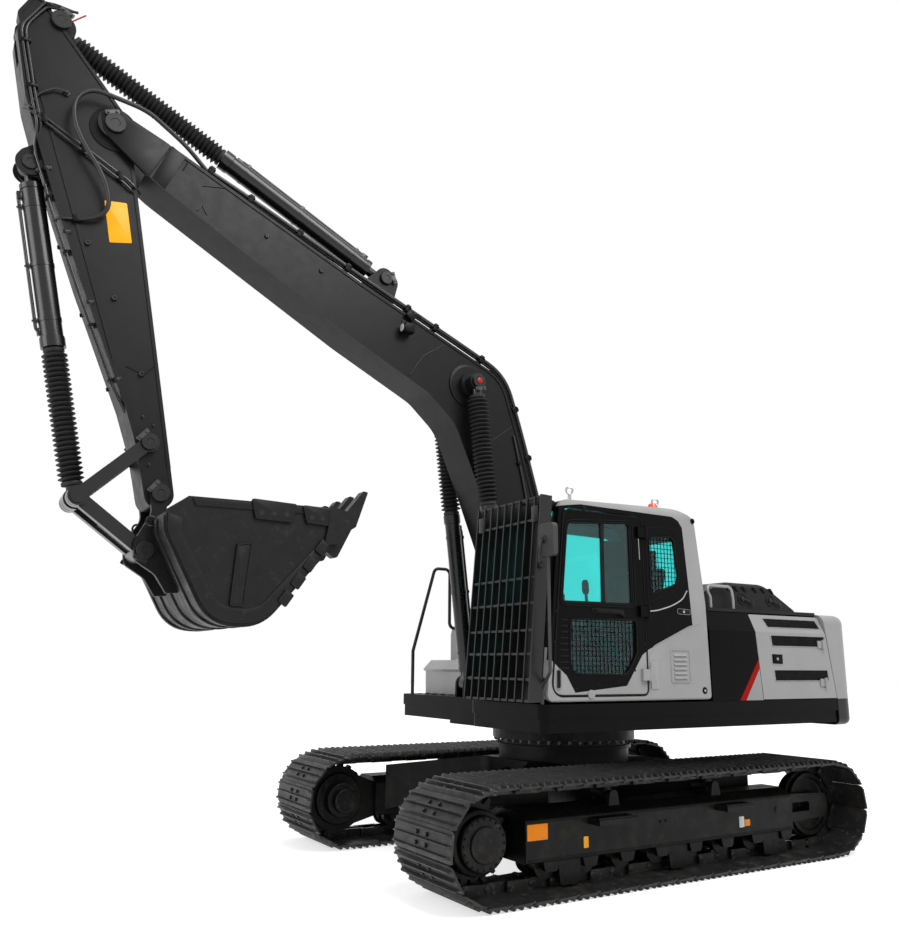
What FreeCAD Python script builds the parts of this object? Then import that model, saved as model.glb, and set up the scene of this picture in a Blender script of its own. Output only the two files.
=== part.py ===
import FreeCAD, Part
import math
import os
import re

import Sketcher

# Crawler excavator of the 23 t class, 1:1, millimetres.
# +X points the way the boom points, +Y to the cab's side, +Z up, and the ground is z = 0.
# Every shape is drawn with the slew axis at x = 0, and slew_x then moves the whole machine
# so that the origin lies on the ground under the middle of its box.

doc = FreeCAD.newDocument("CrawlerExcavator")
dims = doc.addObject("Spreadsheet::Sheet", "Dims")

DIMENSIONS = {
    "slew_x": (-1228, "x of the slew axis"),
    # tracks
    "tumbler_span": (3650, "sprocket axle to idler axle"),
    "track_gauge": (2390, "between the tracks' middles"),
    "shoe_width": (800, "width of a track shoe"),
    "shoe_pitch": (190, "length of one track link"),
    "track_tip_r": (410, "axle to grouser tip"),
    "grouser_tall": (26, "height of a grouser over its plate"),
    "shoe_plate": (14, "thickness of a shoe's plate"),
    "chain_tall": (80, "height of the link chain under the shoe"),
    "chain_wide": (190, "width over the two link rows"),
    "chain_slot": (74, "free width between the link rows"),
    # track frame and what it carries
    "frame_wide": (420, "width of a track frame"),
    "frame_drop": (170, "axle height down to the track frame's underside"),
    "frame_rise": (120, "axle height up to the end of the frame's sides"),
    "frame_peak": (175, "axle height up to the frame's top plate"),
    "frame_ridge": (220, "width of the track frame's top plate"),
    "frame_front": (1460, "x of the track frame's drive end"),
    "frame_rear": (1415, "how far behind the slew axis the frame's box ends"),
    "tooth_bite": (32, "how far the sprocket's teeth reach into the chain"),
    "sprocket_teeth": (21, "number of sprocket teeth"),
    "sprocket_wide": (60, "width of the sprocket"),
    "drive_r": (225, "radius of the final drive's housing"),
    "drive_cap_r": (190, "radius of the final drive's cover"),
    "drive_out": (1430, "y of the final drive's cover"),
    "idler_in": (144, "grouser tip in to the idler's tread"),
    "idler_wide": (150, "width of the idler"),
    "yoke_in": (110, "idler's middle to the yoke plates"),
    "yoke_plate": (50, "thickness of the yoke plates"),
    "roller_r": (88, "track roller's tread radius"),
    "roller_flange": (14, "height of a roller's flange over its tread"),
    "roller_wide": (236, "width of a track roller"),
    "roller_count": (8, "track rollers on each side"),
    "roller_span": (2560, "first to last track roller"),
    "carrier_r": (52, "carrier roller's radius"),
    "carrier_span": (1120, "between the two carrier rollers"),
    # carbody and slewing ring
    "body_rise": (60, "axle height up to the carbody's underside"),
    "body_tall": (330, "depth of the carbody under the tower"),
    "leg_drop": (120, "axle height down to the leg ends' underside"),
    "leg_rise": (280, "axle height up to the leg ends' top"),
    "leg_out": (1360, "x of the leg ends' front edges"),
    "leg_wide": (430, "width of a leg's end"),
    "tow_reach": (745, "tow eyes, ahead of and behind the slew axis"),
    "tow_thick": (50, "thickness of a tow lug"),
    "tow_eye_r": (30, "radius of a tow eye"),
    "tower_r": (600, "radius of the tower under the slewing ring"),
    "tower_top": (925, "z of the tower's top"),
    "ring_in": (500, "inside radius of the slewing ring"),
    "ring_mid": (584, "parting radius of the slewing ring"),
    "ring_out": (660, "outside radius of the slewing ring"),
    "ring_tall": (110, "height of each race"),
    "race_step": (50, "how far the outer race stands above the inner one"),
    # house
    "deck_tall": (250, "depth of the house frame"),
    "skirt_tall": (212, "height of the skirt"),
    "skirt_band": (105, "height of the skirt's upper band"),
    "skirt_in": (14, "how far the skirt's lower band stands in"),
    "house_half": (1370, "half of the house's width"),
    "house_front": (1262, "x of the deck's front edge at the cab"),
    "house_rear": (2215, "how far behind the slew axis the frame's deck ends"),
    "frame_nose": (1005, "x of the centre section's front edge"),
    "weight_lean": (130, "how far the counterweight's front leans forward at its top"),
    "tail_r": (2790, "tail swing radius"),
    "weight_front": (2225, "how far behind the slew axis the counterweight starts"),
    "weight_tall": (1025, "height of the counterweight"),
    "body_high": (765, "height of the side panels over the deck"),
    "shoulder_high": (600, "height over the deck where the panels lean in"),
    "shoulder_in": (62, "how far the panels lean in at the top"),
    "door_seam": (1190, "how far behind the slew axis the side doors start"),
    "panel": (40, "thickness of doors, panels and cab walls"),
    "gap": (8, "gap round a door"),
    # cab
    "cab_side_gap": (5, "cab's outer side in from the house's side"),
    "cab_wide": (955, "width of the cab"),
    "cab_rear": (540, "how far behind the slew axis the cab ends"),
    "cab_front": (1215, "x of the cab's front at its base"),
    "cab_lean": (150, "how far the front pillars lean back over the cab's height"),
    "cab_lift": (15, "gap between deck and cab"),
    "cab_tall": (1645, "cab's roof over the deck"),
    "door_rear": (172, "x of the cab door's rear edge"),
    "sill_high": (740, "cab windows' lower edge over the deck"),
    "glass": (12, "thickness of the cab's panes"),
    "seal": (1, "clearance of a pane in its window"),
    "guard_reach": (140, "front guard ahead of the cab's front at the foot"),
    "guard_bars": (10, "upright bars of the front guard"),
    "guard_bar": (14, "thickness of the guard's bars"),
    # boom
    "boom_foot_x": (280, "x of the boom's foot pin"),
    "boom_foot_high": (565, "boom's foot pin over the deck"),
    "boom_length": (5700, "boom foot pin to arm pin"),
    "boom_angle": (42.5, "slope of the line from foot pin to arm pin"),
    "boom_wide": (390, "width of the boom's box"),
    "boom_rod_u": (2204, "boom cylinder's rod pin, along the boom"),
    "boom_rod_v": (1060, "boom cylinder's rod pin, across the boom"),
    "arm_base_u": (3440, "arm cylinder's base pin, along the boom"),
    "arm_base_v": (1180, "arm cylinder's base pin, across the boom"),
    "cheek": (45, "thickness of a boom foot bracket"),
    "lift_y": (320, "y of the boom cylinders"),
    "lift_foot_x": (860, "x of the boom cylinders' foot pins"),
    "lift_foot_high": (115, "boom cylinders' foot pins over the deck"),
    "tip_slot": (420, "depth of the boom's tip fork behind the arm pin"),
    "flange_lip": (26, "width of a girder's rim round its recessed side"),
    "flange_proud": (8, "how far a girder's flanges stand proud of its sides"),
    # arm
    "arm_length": (2950, "arm pin to bucket pin"),
    "arm_angle": (258.8, "direction of the arm from its pin, from +X towards +Z"),
    "arm_wide": (320, "width of the arm's box"),
    "arm_rod_s": (-845, "arm cylinder's rod pin, along the arm"),
    "arm_rod_t": (301, "arm cylinder's rod pin, across the arm"),
    "tip_base_s": (334, "bucket cylinder's base pin, along the arm"),
    "tip_base_t": (627, "bucket cylinder's base pin, across the arm"),
    "guide_s": (2555, "guide link's pin, along the arm"),
    "guide_t": (34, "guide link's pin, across the arm"),
    "guide_length": (644, "guide link's length"),
    "guide_thick": (36, "thickness of a guide link"),
    "link_length": (608, "bucket link's length"),
    "link_bar": (100, "height of a link's bar"),
    "link_boss_r": (74, "radius of a link's bosses"),
    # bucket
    "bucket_angle": (175.9, "direction of the teeth from the bucket pin"),
    "bucket_wide": (1200, "bucket's width over its side plates"),
    "bucket_link_p": (-111, "link pin, against the teeth's direction"),
    "bucket_link_q": (423, "link pin, across the teeth's direction"),
    "bucket_wall": (25, "thickness of the bucket's plates"),
    "teeth": (5, "number of bucket teeth"),
    "tooth_wide": (95, "width of a bucket tooth"),
    "ear_in": (161, "half of the free width between the bucket's ears"),
    "ear": (40, "thickness of the bucket's ears"),
    # pins and cylinders
    "pin_r": (45, "radius of the main pins"),
    "small_pin_r": (40, "radius of the linkage pins"),
    "pin_fit": (0.5, "radial clearance of a bore round its pin"),
    "pin_cap": (14, "thickness of a pin's end cap"),
    "side_play": (6, "side clearance between a boss and its cheeks"),
    "lug": (30, "thickness of a cylinder's lug"),
    "barrel_r": (72, "outside radius of the boom cylinders"),
    "barrel_big_r": (82, "outside radius of the arm and bucket cylinders"),
    "rod_r": (45, "radius of the cylinder rods"),
    "bellows_r": (70, "outside radius of the bellows"),
    "eye_half": (45, "half of the width of a cylinder's eye"),
    "eye_r": (80, "radius of a cylinder's eye"),
}

for row, (alias, (value, note)) in enumerate(DIMENSIONS.items(), start=1):
    dims.set(f"A{row}", note)
    dims.set(f"B{row}", str(value))
    dims.setAlias(f"B{row}", alias)
doc.recompute()

# Heights and sides that stack from the sizes above.
CHAIN_IN = "(track_tip_r - grouser_tall - shoe_plate - chain_tall)"
CHAIN_LOW = "(grouser_tall + shoe_plate + chain_tall)"
CHAIN_HIGH = f"(2*track_tip_r - {CHAIN_LOW})"
FRAME_LOW = "(track_tip_r - frame_drop)"
FRAME_TOP = "(track_tip_r + frame_peak)"
BODY_LOW = "(track_tip_r + body_rise)"
HOUSE_LOW = "(tower_top + race_step + ring_tall)"
DECK = f"({HOUSE_LOW} + deck_tall)"
BODY_TOP = f"({DECK} + body_high)"
SHOULDER = f"({DECK} + shoulder_high)"
CAB_OUT = "(house_half - cab_side_gap)"
CAB_IN = f"({CAB_OUT} - cab_wide)"
CAB_MID = f"({CAB_OUT} - cab_wide/2)"
CAB_BASE = f"({DECK} + cab_lift)"
CAB_FLOOR = f"({CAB_BASE} + panel)"
CAB_TOP = f"({DECK} + cab_tall)"
SILL = f"({DECK} + sill_high)"
BOOM_FOOT_Z = f"({DECK} + boom_foot_high)"
LIFT_FOOT_Z = f"({DECK} + lift_foot_high)"
FOOT_WIDE = "(boom_wide + 10)"
TIP_IN = "(arm_wide/2 + side_play)"
LUG_MID = "(eye_half + side_play + lug/2)"
LUG_OUT = "(eye_half + side_play + lug)"
GUIDE_Y = "(arm_wide/2 + side_play + guide_thick/2)"
PIN_OUT = "(ear_in + ear + pin_cap)"

size = {alias: float(dims.get(alias)) for alias in DIMENSIONS}
ALIAS = re.compile(r"\b(" + "|".join(sorted(DIMENSIONS, key=len, reverse=True)) + r")\b")
Vec = FreeCAD.Vector
Turn = FreeCAD.Rotation
NODES = []


def formula(text):
    """The same formula with each dimension's name pointing into the spreadsheet."""
    return ALIAS.sub(r"Dims.\1", str(text))


def number(text):
    """The value that a formula has now."""
    return float(dims.evalExpression(formula(text)))


def tie(thing, prop, text):
    """Binds a property to a formula of the sheet."""
    thing.setExpression(prop, formula(text))


def move(thing, x="0", y="0", z="0"):
    """Binds where an object stands."""
    for axis, text in (("x", x), ("y", y), ("z", z)):
        if str(text) != "0":
            tie(thing, f"Placement.Base.{axis}", text)
    return thing


PLANES = {
    "XY": (Turn(), "z"),
    "XZ": (Turn(Vec(1, 0, 0), 90), "y"),
    "YZ": (Turn(Vec(1, 1, 1), 120), "x"),
}
AXES = {
    "x": Turn(Vec(0, 1, 0), 90),
    "y": Turn(Vec(1, 0, 0), -90),
    "z": Turn(),
}


def outline(name, corners, plane="XZ", at="0"):
    """A closed sketch through corners of (x, y) or (x, y, radius), each a formula of the sheet.

    A rounded corner keeps its sharp corner as a construction point, so every corner is dimensioned
    from the origin in the same way. "at" is the sketch's place along its plane's normal.
    """
    turn, normal = PLANES[plane]
    sketch = doc.addObject("Sketcher::SketchObject", name)
    sketch.Placement = FreeCAD.Placement(Vec(), turn)
    move(sketch, **{normal: at})
    places = [Vec(number(corner[0]), number(corner[1]), 0) for corner in corners]
    count = len(corners)
    starts, ends, arcs = [None] * count, [None] * count, [None] * count
    for i, corner in enumerate(corners):
        here = places[i]
        back = (places[i - 1] - here).normalize()
        ahead = (places[(i + 1) % count] - here).normalize()
        if len(corner) == 2:
            ends[i - 1], starts[i] = here, here
            continue
        radius = number(corner[2])
        half = math.acos(max(-1.0, min(1.0, back.dot(ahead)))) / 2
        reach = radius / math.tan(half)
        middle = here + (back + ahead).normalize() * (radius / math.sin(half))
        first, last = here + back * reach, here + ahead * reach
        ends[i - 1], starts[i] = first, last
        left = back.cross(ahead).z < 0
        low, high = (first, last) if left else (last, first)
        angles = [math.atan2(p.y - middle.y, p.x - middle.x) for p in (low, high)]
        if angles[1] < angles[0]:
            angles[1] += 2 * math.pi
        arcs[i] = (Part.ArcOfCircle(Part.Circle(middle, Vec(0, 0, 1), radius), *angles), left, radius)
    lines = [sketch.addGeometry(Part.LineSegment(starts[i], ends[i]), False) for i in range(count)]
    rules, bound = [], []

    def dimension(kind, target, text):
        rules.append(Sketcher.Constraint(kind, *target))
        bound.append((len(rules) - 1, text))

    for i, corner in enumerate(corners):
        before, after = lines[i - 1], lines[i]
        if arcs[i] is None:
            rules.append(Sketcher.Constraint("Coincident", before, 2, after, 1))
            point = (after, 1)
        else:
            arc_shape, left, radius = arcs[i]
            arc = sketch.addGeometry(arc_shape, False)
            first, last = (1, 2) if left else (2, 1)
            rules.append(Sketcher.Constraint("Tangent", before, 2, arc, first))
            rules.append(Sketcher.Constraint("Tangent", arc, last, after, 1))
            dimension("Radius", (arc, radius), corner[2])
            mark = sketch.addGeometry(Part.Point(places[i]), True)
            rules.append(Sketcher.Constraint("PointOnObject", mark, 1, before))
            rules.append(Sketcher.Constraint("PointOnObject", mark, 1, after))
            point = (mark, 1)
        dimension("DistanceX", (-1, 1, *point, places[i].x), corner[0])
        dimension("DistanceY", (-1, 1, *point, places[i].y), corner[1])
    sketch.addConstraint(rules)
    for index, text in bound:
        if ALIAS.search(str(text)):
            tie(sketch, f"Constraints[{index}]", text)
    return sketch


def inset(name, sketch, by):
    """A closed sketch moved inwards all round."""
    inner = doc.addObject("Part::Offset2D", name)
    inner.Source = sketch
    tie(inner, "Value", f"-({by})")
    return inner


def extrude(name, sketch, length, both=True):
    """The solid that a sketch makes along its normal, centred on the sketch unless both is false."""
    solid = doc.addObject("Part::Extrusion", name)
    solid.Base = sketch
    solid.DirMode = "Normal"
    solid.Solid = True
    solid.Symmetric = both
    tie(solid, "LengthFwd", length)
    return solid


def plate(name, corners, thick, plane="XZ", at="0"):
    """An outline's solid, centred on "at" along the plane's normal."""
    return extrude(name, outline(name + "_sketch", corners, plane, at), thick)


def block(name, low, high):
    """A box between two corners, each a formula of the sheet."""
    solid = doc.addObject("Part::Box", name)
    for prop, a, b in zip(("Length", "Width", "Height"), low, high):
        tie(solid, prop, f"({b}) - ({a})")
    return move(solid, *low)


def rod(name, radius, length, centre, axis="y"):
    """A cylinder along an axis, centred on a point."""
    solid = doc.addObject("Part::Cylinder", name)
    solid.Placement = FreeCAD.Placement(Vec(), AXES[axis])
    tie(solid, "Radius", radius)
    tie(solid, "Height", length)
    place = list(centre)
    along = "xyz".index(axis)
    place[along] = f"({centre[along]}) - ({length})/2"
    return move(solid, *place)


def lathe(name, profile, x, z):
    """A solid of revolution about the line along Y through (x, z), from (radius, y) points."""
    corners = [(f"{x} + ({corner[0]})", *corner[1:]) for corner in profile]
    solid = doc.addObject("Part::Revolution", name)
    solid.Source = outline(name + "_sketch", corners, "XY", z)
    solid.Axis = Vec(0, 1, 0)
    solid.Angle = 360
    solid.Solid = True
    tie(solid, "Base.x", x)
    tie(solid, "Base.z", z)
    return solid


def tube(name, points, radius, bend):
    """A round bar or pipe through points, bent to one radius at each inner point."""
    places = [Vec(*[number(value) for value in point]) for point in points]
    edges, start = [], places[0]
    for before, here, after in zip(places, places[1:], places[2:]):
        back = (before - here).normalize()
        ahead = (after - here).normalize()
        half = math.acos(back.dot(ahead)) / 2
        first, last = here + back * (bend / math.tan(half)), here + ahead * (bend / math.tan(half))
        crown = here + (back + ahead).normalize() * (bend / math.sin(half) - bend)
        edges += [Part.LineSegment(start, first).toShape(), Part.Arc(first, crown, last).toShape()]
        start = last
    edges.append(Part.LineSegment(start, places[-1]).toShape())
    ring = Part.Wire([Part.makeCircle(radius, places[0], places[1] - places[0])])
    return shaped(name, Part.Wire(edges).makePipeShell([ring], True, False))


def fuse(name, *solids):
    """One solid from several."""
    joined = doc.addObject("Part::MultiFuse", name)
    joined.Shapes = list(solids)
    joined.Refine = True
    return joined


def common(name, *solids):
    """What several solids share."""
    shared = doc.addObject("Part::MultiCommon", name)
    shared.Shapes = list(solids)
    shared.Refine = True
    return shared


def group(name, *solids):
    """Several solids that don't touch, kept as they are."""
    together = doc.addObject("Part::Compound", name)
    together.Links = list(solids)
    return together


def cut(name, base, *tools):
    """A solid less one or more others."""
    result = doc.addObject("Part::Cut", name)
    result.Base = base
    result.Tool = tools[0] if len(tools) == 1 else group(name + "_tools", *tools)
    result.Refine = True
    return result


def mirrored(name, solid):
    """A solid's mirror image on the other side of the machine."""
    image = doc.addObject("Part::Mirroring", name)
    image.Source = solid
    image.Normal = Vec(0, 1, 0)
    return image


def shaped(name, shape):
    """A shape made by Part's own functions."""
    thing = doc.addObject("Part::Feature", name)
    thing.Shape = shape
    return thing


def girder(name, corners, wide):
    """A welded box girder whose flanges stand proud of its two side plates."""
    solid = plate(f"{name}_box", corners, wide)
    pockets = []
    for side in (-1, 1):
        rim = outline(f"{name}_rim_{side > 0}", corners, "XZ", f"{side}*({wide})/2")
        pockets.append(extrude(f"{name}_pocket_{side > 0}",
                               inset(f"{name}_side_{side > 0}", rim, "flange_lip"),
                               "2*flange_proud"))
    return cut(f"{name}_girder", solid, *pockets)


def node(label, thing, x=0.0, z=0.0, angle=0.0):
    """Gives a finished sub-part its label and its place: its own origin at (x, z), turned from +X
    towards +Z by an angle, with the slew axis at slew_x."""
    if thing.TypeId in ("Part::Box", "Part::Cylinder"):
        thing = group(label + "_place", thing)
    thing.Label = label
    thing.Placement = FreeCAD.Placement(Vec(x, 0, z), Turn(Vec(0, -1, 0), angle))
    tie(thing, "Placement.Base.x", f"slew_x + {x}")
    NODES.append(thing)
    return thing


# ---------------------------------------------------------------- undercarriage

def carbody():
    """The X-shaped frame between the track frames, with the tower that carries the slewing ring."""
    reach = "(track_gauge/2 - frame_wide/2)"
    inner = "(leg_out - leg_wide)"
    quarter = [("leg_out", reach), (inner, reach), ("330", "560", "200")]
    plan = []
    for sx, sy in ((1, 1), (-1, 1), (-1, -1), (1, -1)):
        turn = [(f"{sx}*{corner[0]}", f"{sy}*{corner[1]}", *corner[2:]) for corner in quarter]
        turn.append(None)
        plan += turn if sx == sy else turn[::-1]
    waist = iter((("-640", "330", "160"), ("-640", "-330", "160"), ("640", "-330", "160"),
                  ("640", "330", "160")))
    plan = [corner for corner in plan if corner] if plan else plan
    corners = plan[:6] + [next(waist), next(waist)] + plan[6:] + [next(waist), next(waist)]
    slab = plate("carbody_plan", corners, "4*body_tall", "XY", "track_tip_r")
    section = plate("carbody_section", [
        (f"-{reach} - 5", "track_tip_r - leg_drop"), (f"-{reach} - 5", "track_tip_r + leg_rise"),
        ("-tower_r*0.6", f"{BODY_LOW} + body_tall", "90"), ("tower_r*0.6", f"{BODY_LOW} + body_tall", "90"),
        (f"{reach} + 5", "track_tip_r + leg_rise"), (f"{reach} + 5", "track_tip_r - leg_drop"),
        ("tower_r*0.7", BODY_LOW, "150"), ("-tower_r*0.7", BODY_LOW, "150"),
    ], "4*leg_out", "YZ")
    legs = common("carbody_legs", slab, section)
    tower = rod("carbody_tower", "tower_r", f"tower_top - {BODY_LOW} - 20",
                ("0", "0", f"(tower_top + {BODY_LOW} + 20)/2"), "z")
    collar = rod("carbody_collar", "ring_mid + 40", "30", ("0", "0", "tower_top - 15"), "z")
    lugs, eyes = [], []
    eye_z = f"({BODY_LOW} + body_tall/2)"
    for k in (-1, 1):
        lugs.append(plate(f"tow_lug_{k > 0}", [
            (f"{k}*520", f"{eye_z} - 120"), (f"{k}*(tow_reach + 62)", f"{eye_z} - 62", "60"),
            (f"{k}*(tow_reach + 62)", f"{eye_z} + 62", "60"), (f"{k}*520", f"{eye_z} + 120"),
        ], "tow_thick"))
        eyes.append(rod(f"tow_eye_{k > 0}", "tow_eye_r", "3*tow_thick", (f"{k}*tow_reach", "0", eye_z)))
    well = rod("carbody_well", "ring_in - 120", "tower_top", ("0", "0", "tower_top"), "z")
    node("carbody", cut("carbody_body", fuse("carbody_solid", legs, tower, collar, *lugs), well, *eyes))
    swivel = rod("swivel_body", "150", "420", ("0", "0", "tower_top/2 + 228"), "z")
    flange = rod("swivel_flange", "ring_in - 121", "30", ("0", "0", "tower_top/2 + 16"), "z")
    node("swivel_joint", fuse("swivel_solid", swivel, flange))


def slewing_ring():
    """The two races of the slewing ring: one on the tower, one under the house."""
    low, high = "tower_top + ring_tall/2", f"{HOUSE_LOW} - ring_tall/2"
    blank = rod("race_blank", "ring_mid", "ring_tall", ("0", "0", low), "z")
    bore = rod("race_bore", "ring_in", "2*ring_tall", ("0", "0", low), "z")
    node("slewing_ring_inner", cut("race_inner", blank, bore))
    big = rod("race_outer_blank", "ring_out", "ring_tall", ("0", "0", high), "z")
    hole = rod("race_outer_bore", "ring_mid + 5", "2*ring_tall", ("0", "0", high), "z")
    node("slewing_ring_outer", cut("race_outer", big, hole))


def track_frame(side):
    """A track frame: a roofed box beam on its roller brackets, the idler's yoke and the drive's ring."""
    y, axle = "track_gauge/2", "track_tip_r"
    half, ridge = "frame_wide/2", "frame_ridge/2"
    shoulder = f"({axle} + frame_rise)"
    section = outline(f"{side}_beam_section", [
        (f"{y} - {half}", FRAME_LOW, "12"), (f"{y} + {half}", FRAME_LOW, "12"),
        (f"{y} + {half}", shoulder, "25"),
        (f"{y} + {ridge}", FRAME_TOP, "25"), (f"{y} - {ridge}", FRAME_TOP, "25"),
        (f"{y} - {half}", shoulder, "25"),
    ], "YZ", "-frame_rear")
    beam = extrude(f"{side}_beam", section, "frame_rear + frame_front", both=False)
    tunnel = block(f"{side}_tunnel", ("-frame_rear - 10", f"{y} - 150", "0"),
                   ("frame_front - 130", f"{y} + 150", f"{FRAME_LOW} + 78"))
    ring = rod(f"{side}_drive_ring", "drive_r + 60", "40", ("tumbler_span/2", f"{y} - 135", axle))
    arm = plate(f"{side}_drive_arm", [
        ("frame_front - 60", f"{FRAME_LOW} + 5"), ("tumbler_span/2 - 40", f"{axle} - 260"),
        ("tumbler_span/2 - 40", f"{axle} + 260"), ("frame_front - 60", f"{FRAME_TOP} - 70"),
    ], "40", "XZ", f"{y} - 135")
    bore = rod(f"{side}_drive_bore", "drive_r + pin_fit", "100", ("tumbler_span/2", f"{y} - 135", axle))
    rail = [
        ("-frame_rear + 5", f"{axle} - 120"), ("-tumbler_span/2 - 135", f"{axle} - 100", "70"),
        ("-tumbler_span/2 - 135", f"{axle} + 100", "70"), ("-frame_rear + 5", f"{axle} + 117"),
    ]
    gap = [
        ("-frame_rear - 40", f"{axle} - 40", "20"), ("-tumbler_span/2 + 110", f"{axle} - 40", "20"),
        ("-tumbler_span/2 + 110", f"{axle} + 40", "20"), ("-frame_rear - 40", f"{axle} + 40", "20"),
    ]
    parts = [beam, ring, arm]
    for k in (-1, 1):
        place = f"{y} + {k}*(yoke_in + yoke_plate/2)"
        parts.append(cut(f"{side}_yoke_{k > 0}", plate(f"{side}_yoke_rail_{k > 0}", rail, "yoke_plate", "XZ",
                                                       place),
                         plate(f"{side}_yoke_gap_{k > 0}", gap, "2*yoke_plate", "XZ", place)))
        for i in range(int(size["roller_count"])):
            x = f"(-roller_span/2 - 60 + roller_span*{i}/(roller_count - 1))"
            parts.append(plate(f"{side}_roller_seat_{k > 0}_{i}", [
                (f"{x} - 55", f"{FRAME_LOW} - 70", "25"), (f"{x} + 55", f"{FRAME_LOW} - 70", "25"),
                (f"{x} + 75", f"{FRAME_LOW} + 5"), (f"{x} - 75", f"{FRAME_LOW} + 5"),
            ], "46", "XZ", f"{y} + {k}*173.5"))
        for i in (0.5, 3.5, 6.5):
            x = f"(-roller_span/2 - 60 + roller_span*{i}/(roller_count - 1))"
            parts.append(plate(f"{side}_guide_{k > 0}_{int(i)}", [
                (f"{x} - 90", f"{FRAME_LOW} - 178", "30"), (f"{x} + 90", f"{FRAME_LOW} - 178", "30"),
                (f"{x} + 105", f"{FRAME_LOW} + 5"), (f"{x} - 105", f"{FRAME_LOW} + 5"),
            ], "26", "XZ", f"{y} + {k}*164"))
    for i, (x, wide) in enumerate((("-780", "310"), ("500", "380"))):
        parts.append(block(f"{side}_step_{i}", (x, f"{y} + {half} - 5", f"{shoulder} - 60"),
                           (f"{x} + {wide}", f"{y} + {half} + 130", f"{shoulder} - 20")))
    for i, x in enumerate(("-carrier_span/2", "carrier_span/2")):
        parts.append(plate(f"{side}_carrier_post_{i}", [
            (f"{x} - 60", f"{FRAME_TOP} - 40"), (f"{x} + 60", f"{FRAME_TOP} - 40"),
            (f"{x} + 35", f"{CHAIN_HIGH} - carrier_r + 34", "34"),
            (f"{x} - 35", f"{CHAIN_HIGH} - carrier_r + 34", "34"),
        ], "36", "XZ", f"{y} + 120"))
    return cut(f"{side}_frame", fuse(f"{side}_frame_body", *parts), tunnel, bore)


def track_path():
    """Plate places round the track: each shoe's middle, its direction, and how many there are."""
    rail = size["track_tip_r"] - size["grouser_tall"] - size["shoe_plate"] - size["chain_tall"] / 2
    span = size["tumbler_span"]
    around = 2 * span + 2 * math.pi * rail
    count = round(around / size["shoe_pitch"])
    ends = span / 2
    joints = []
    for i in range(count):
        way = (i + 0.5) * around / count
        if way < span:
            joints.append(Vec(-ends + way, 0, -rail))
        elif way < span + math.pi * rail:
            turn = (way - span) / rail
            joints.append(Vec(ends + rail * math.sin(turn), 0, -rail * math.cos(turn)))
        elif way < 2 * span + math.pi * rail:
            joints.append(Vec(ends - (way - span - math.pi * rail), 0, rail))
        else:
            turn = (way - 2 * span - math.pi * rail) / rail
            joints.append(Vec(-ends - rail * math.sin(turn), 0, rail * math.cos(turn)))
    return joints


def track(side):
    """A whole track as one fixed loop: plates with three grousers each, on two rows of links."""
    joints = track_path()
    centre = Vec(0, 0, size["track_tip_r"])
    plate_in = size["chain_tall"] / 2
    plate_out = plate_in + size["shoe_plate"]
    tip = plate_out + size["grouser_tall"]
    bury = plate_in + size["shoe_plate"] / 2
    outer, inner, seat, chain = [], [], [], []
    for i, first in enumerate(joints):
        last = joints[(i + 1) % len(joints)]
        ahead = (last - first).normalize()
        out = ahead.cross(Vec(0, 1, 0)) * -1
        middle = (first + last) * 0.5 + centre
        pitch = (last - first).Length

        def at(along, away):
            return middle + ahead * (along * pitch) + out * away

        outer.append(at(-0.47, plate_out))
        for place in (-0.38, -0.02, 0.34):
            outer += [at(place - 0.06, plate_out), at(place, tip), at(place + 0.06, plate_out)]
        outer.append(at(0.47, plate_out))
        inner += [at(-0.44, plate_in), at(0.44, plate_in)]
        seat += [at(-0.44, bury), at(0.44, bury)]
        chain += [at(-0.40, -plate_in), at(0.40, -plate_in)]
    y_mid = size["track_gauge"] / 2
    wide, row, slot = size["shoe_width"], size["chain_wide"], size["chain_slot"]

    def ring(outside, inside):
        loops = [Part.makePolygon(points + points[:1]) for points in (outside, inside)]
        return Part.makeFace(loops, "Part::FaceMakerBullseye")

    shoes = ring(outer, inner).extrude(Vec(0, wide, 0))
    shoes.translate(Vec(0, y_mid - wide / 2, 0))
    rows = []
    for start in (-row / 2, slot / 2):
        link_row = ring(seat, chain).extrude(Vec(0, (row - slot) / 2, 0))
        link_row.translate(Vec(0, y_mid + start, 0))
        rows.append(link_row)
    return shaped(f"{side}_track_loop", shoes.fuse(rows))


def final_drive(side):
    """The sprocket with its stepped reduction housing outside and the travel motor inside."""
    y = "track_gauge/2"
    x, z = "tumbler_span/2", "track_tip_r"
    housing = lathe(f"{side}_housing", [
        ("0", f"{y} - 190"), ("drive_r", f"{y} - 190", "15"), ("drive_r", "drive_out - 75", "20"),
        ("drive_cap_r", "drive_out - 62"), ("drive_cap_r", "drive_out", "22"),
        ("drive_cap_r - 68", "drive_out", "6"),
        ("drive_cap_r - 70", "drive_out + 20", "8"), ("0", "drive_out + 20"),
    ], x, z)
    motor = lathe(f"{side}_motor", [
        ("0", f"{y} - 355"), ("110", f"{y} - 355", "20"), ("110", f"{y} - 280"), ("150", f"{y} - 275", "12"),
        ("150", f"{y} - 180"), ("0", f"{y} - 180"),
    ], x, z)
    tip, count = number(f"{CHAIN_IN} + tooth_bite"), int(size["sprocket_teeth"])
    points = []
    for i in range(count):
        for share, radius in ((-0.38, tip - 62), (-0.13, tip), (0.13, tip), (0.38, tip - 62)):
            turn = 2 * math.pi * (i + share) / count
            points.append(Vec(radius * math.sin(turn), 0, radius * math.cos(turn)))
    wheel = Part.Face(Part.makePolygon(points + points[:1])).extrude(Vec(0, size["sprocket_wide"], 0))
    wheel.translate(Vec(number(x), number(y) - size["sprocket_wide"] / 2, number(z)))
    return fuse(f"{side}_drive", housing, motor, shaped(f"{side}_sprocket_wheel", wheel))


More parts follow.
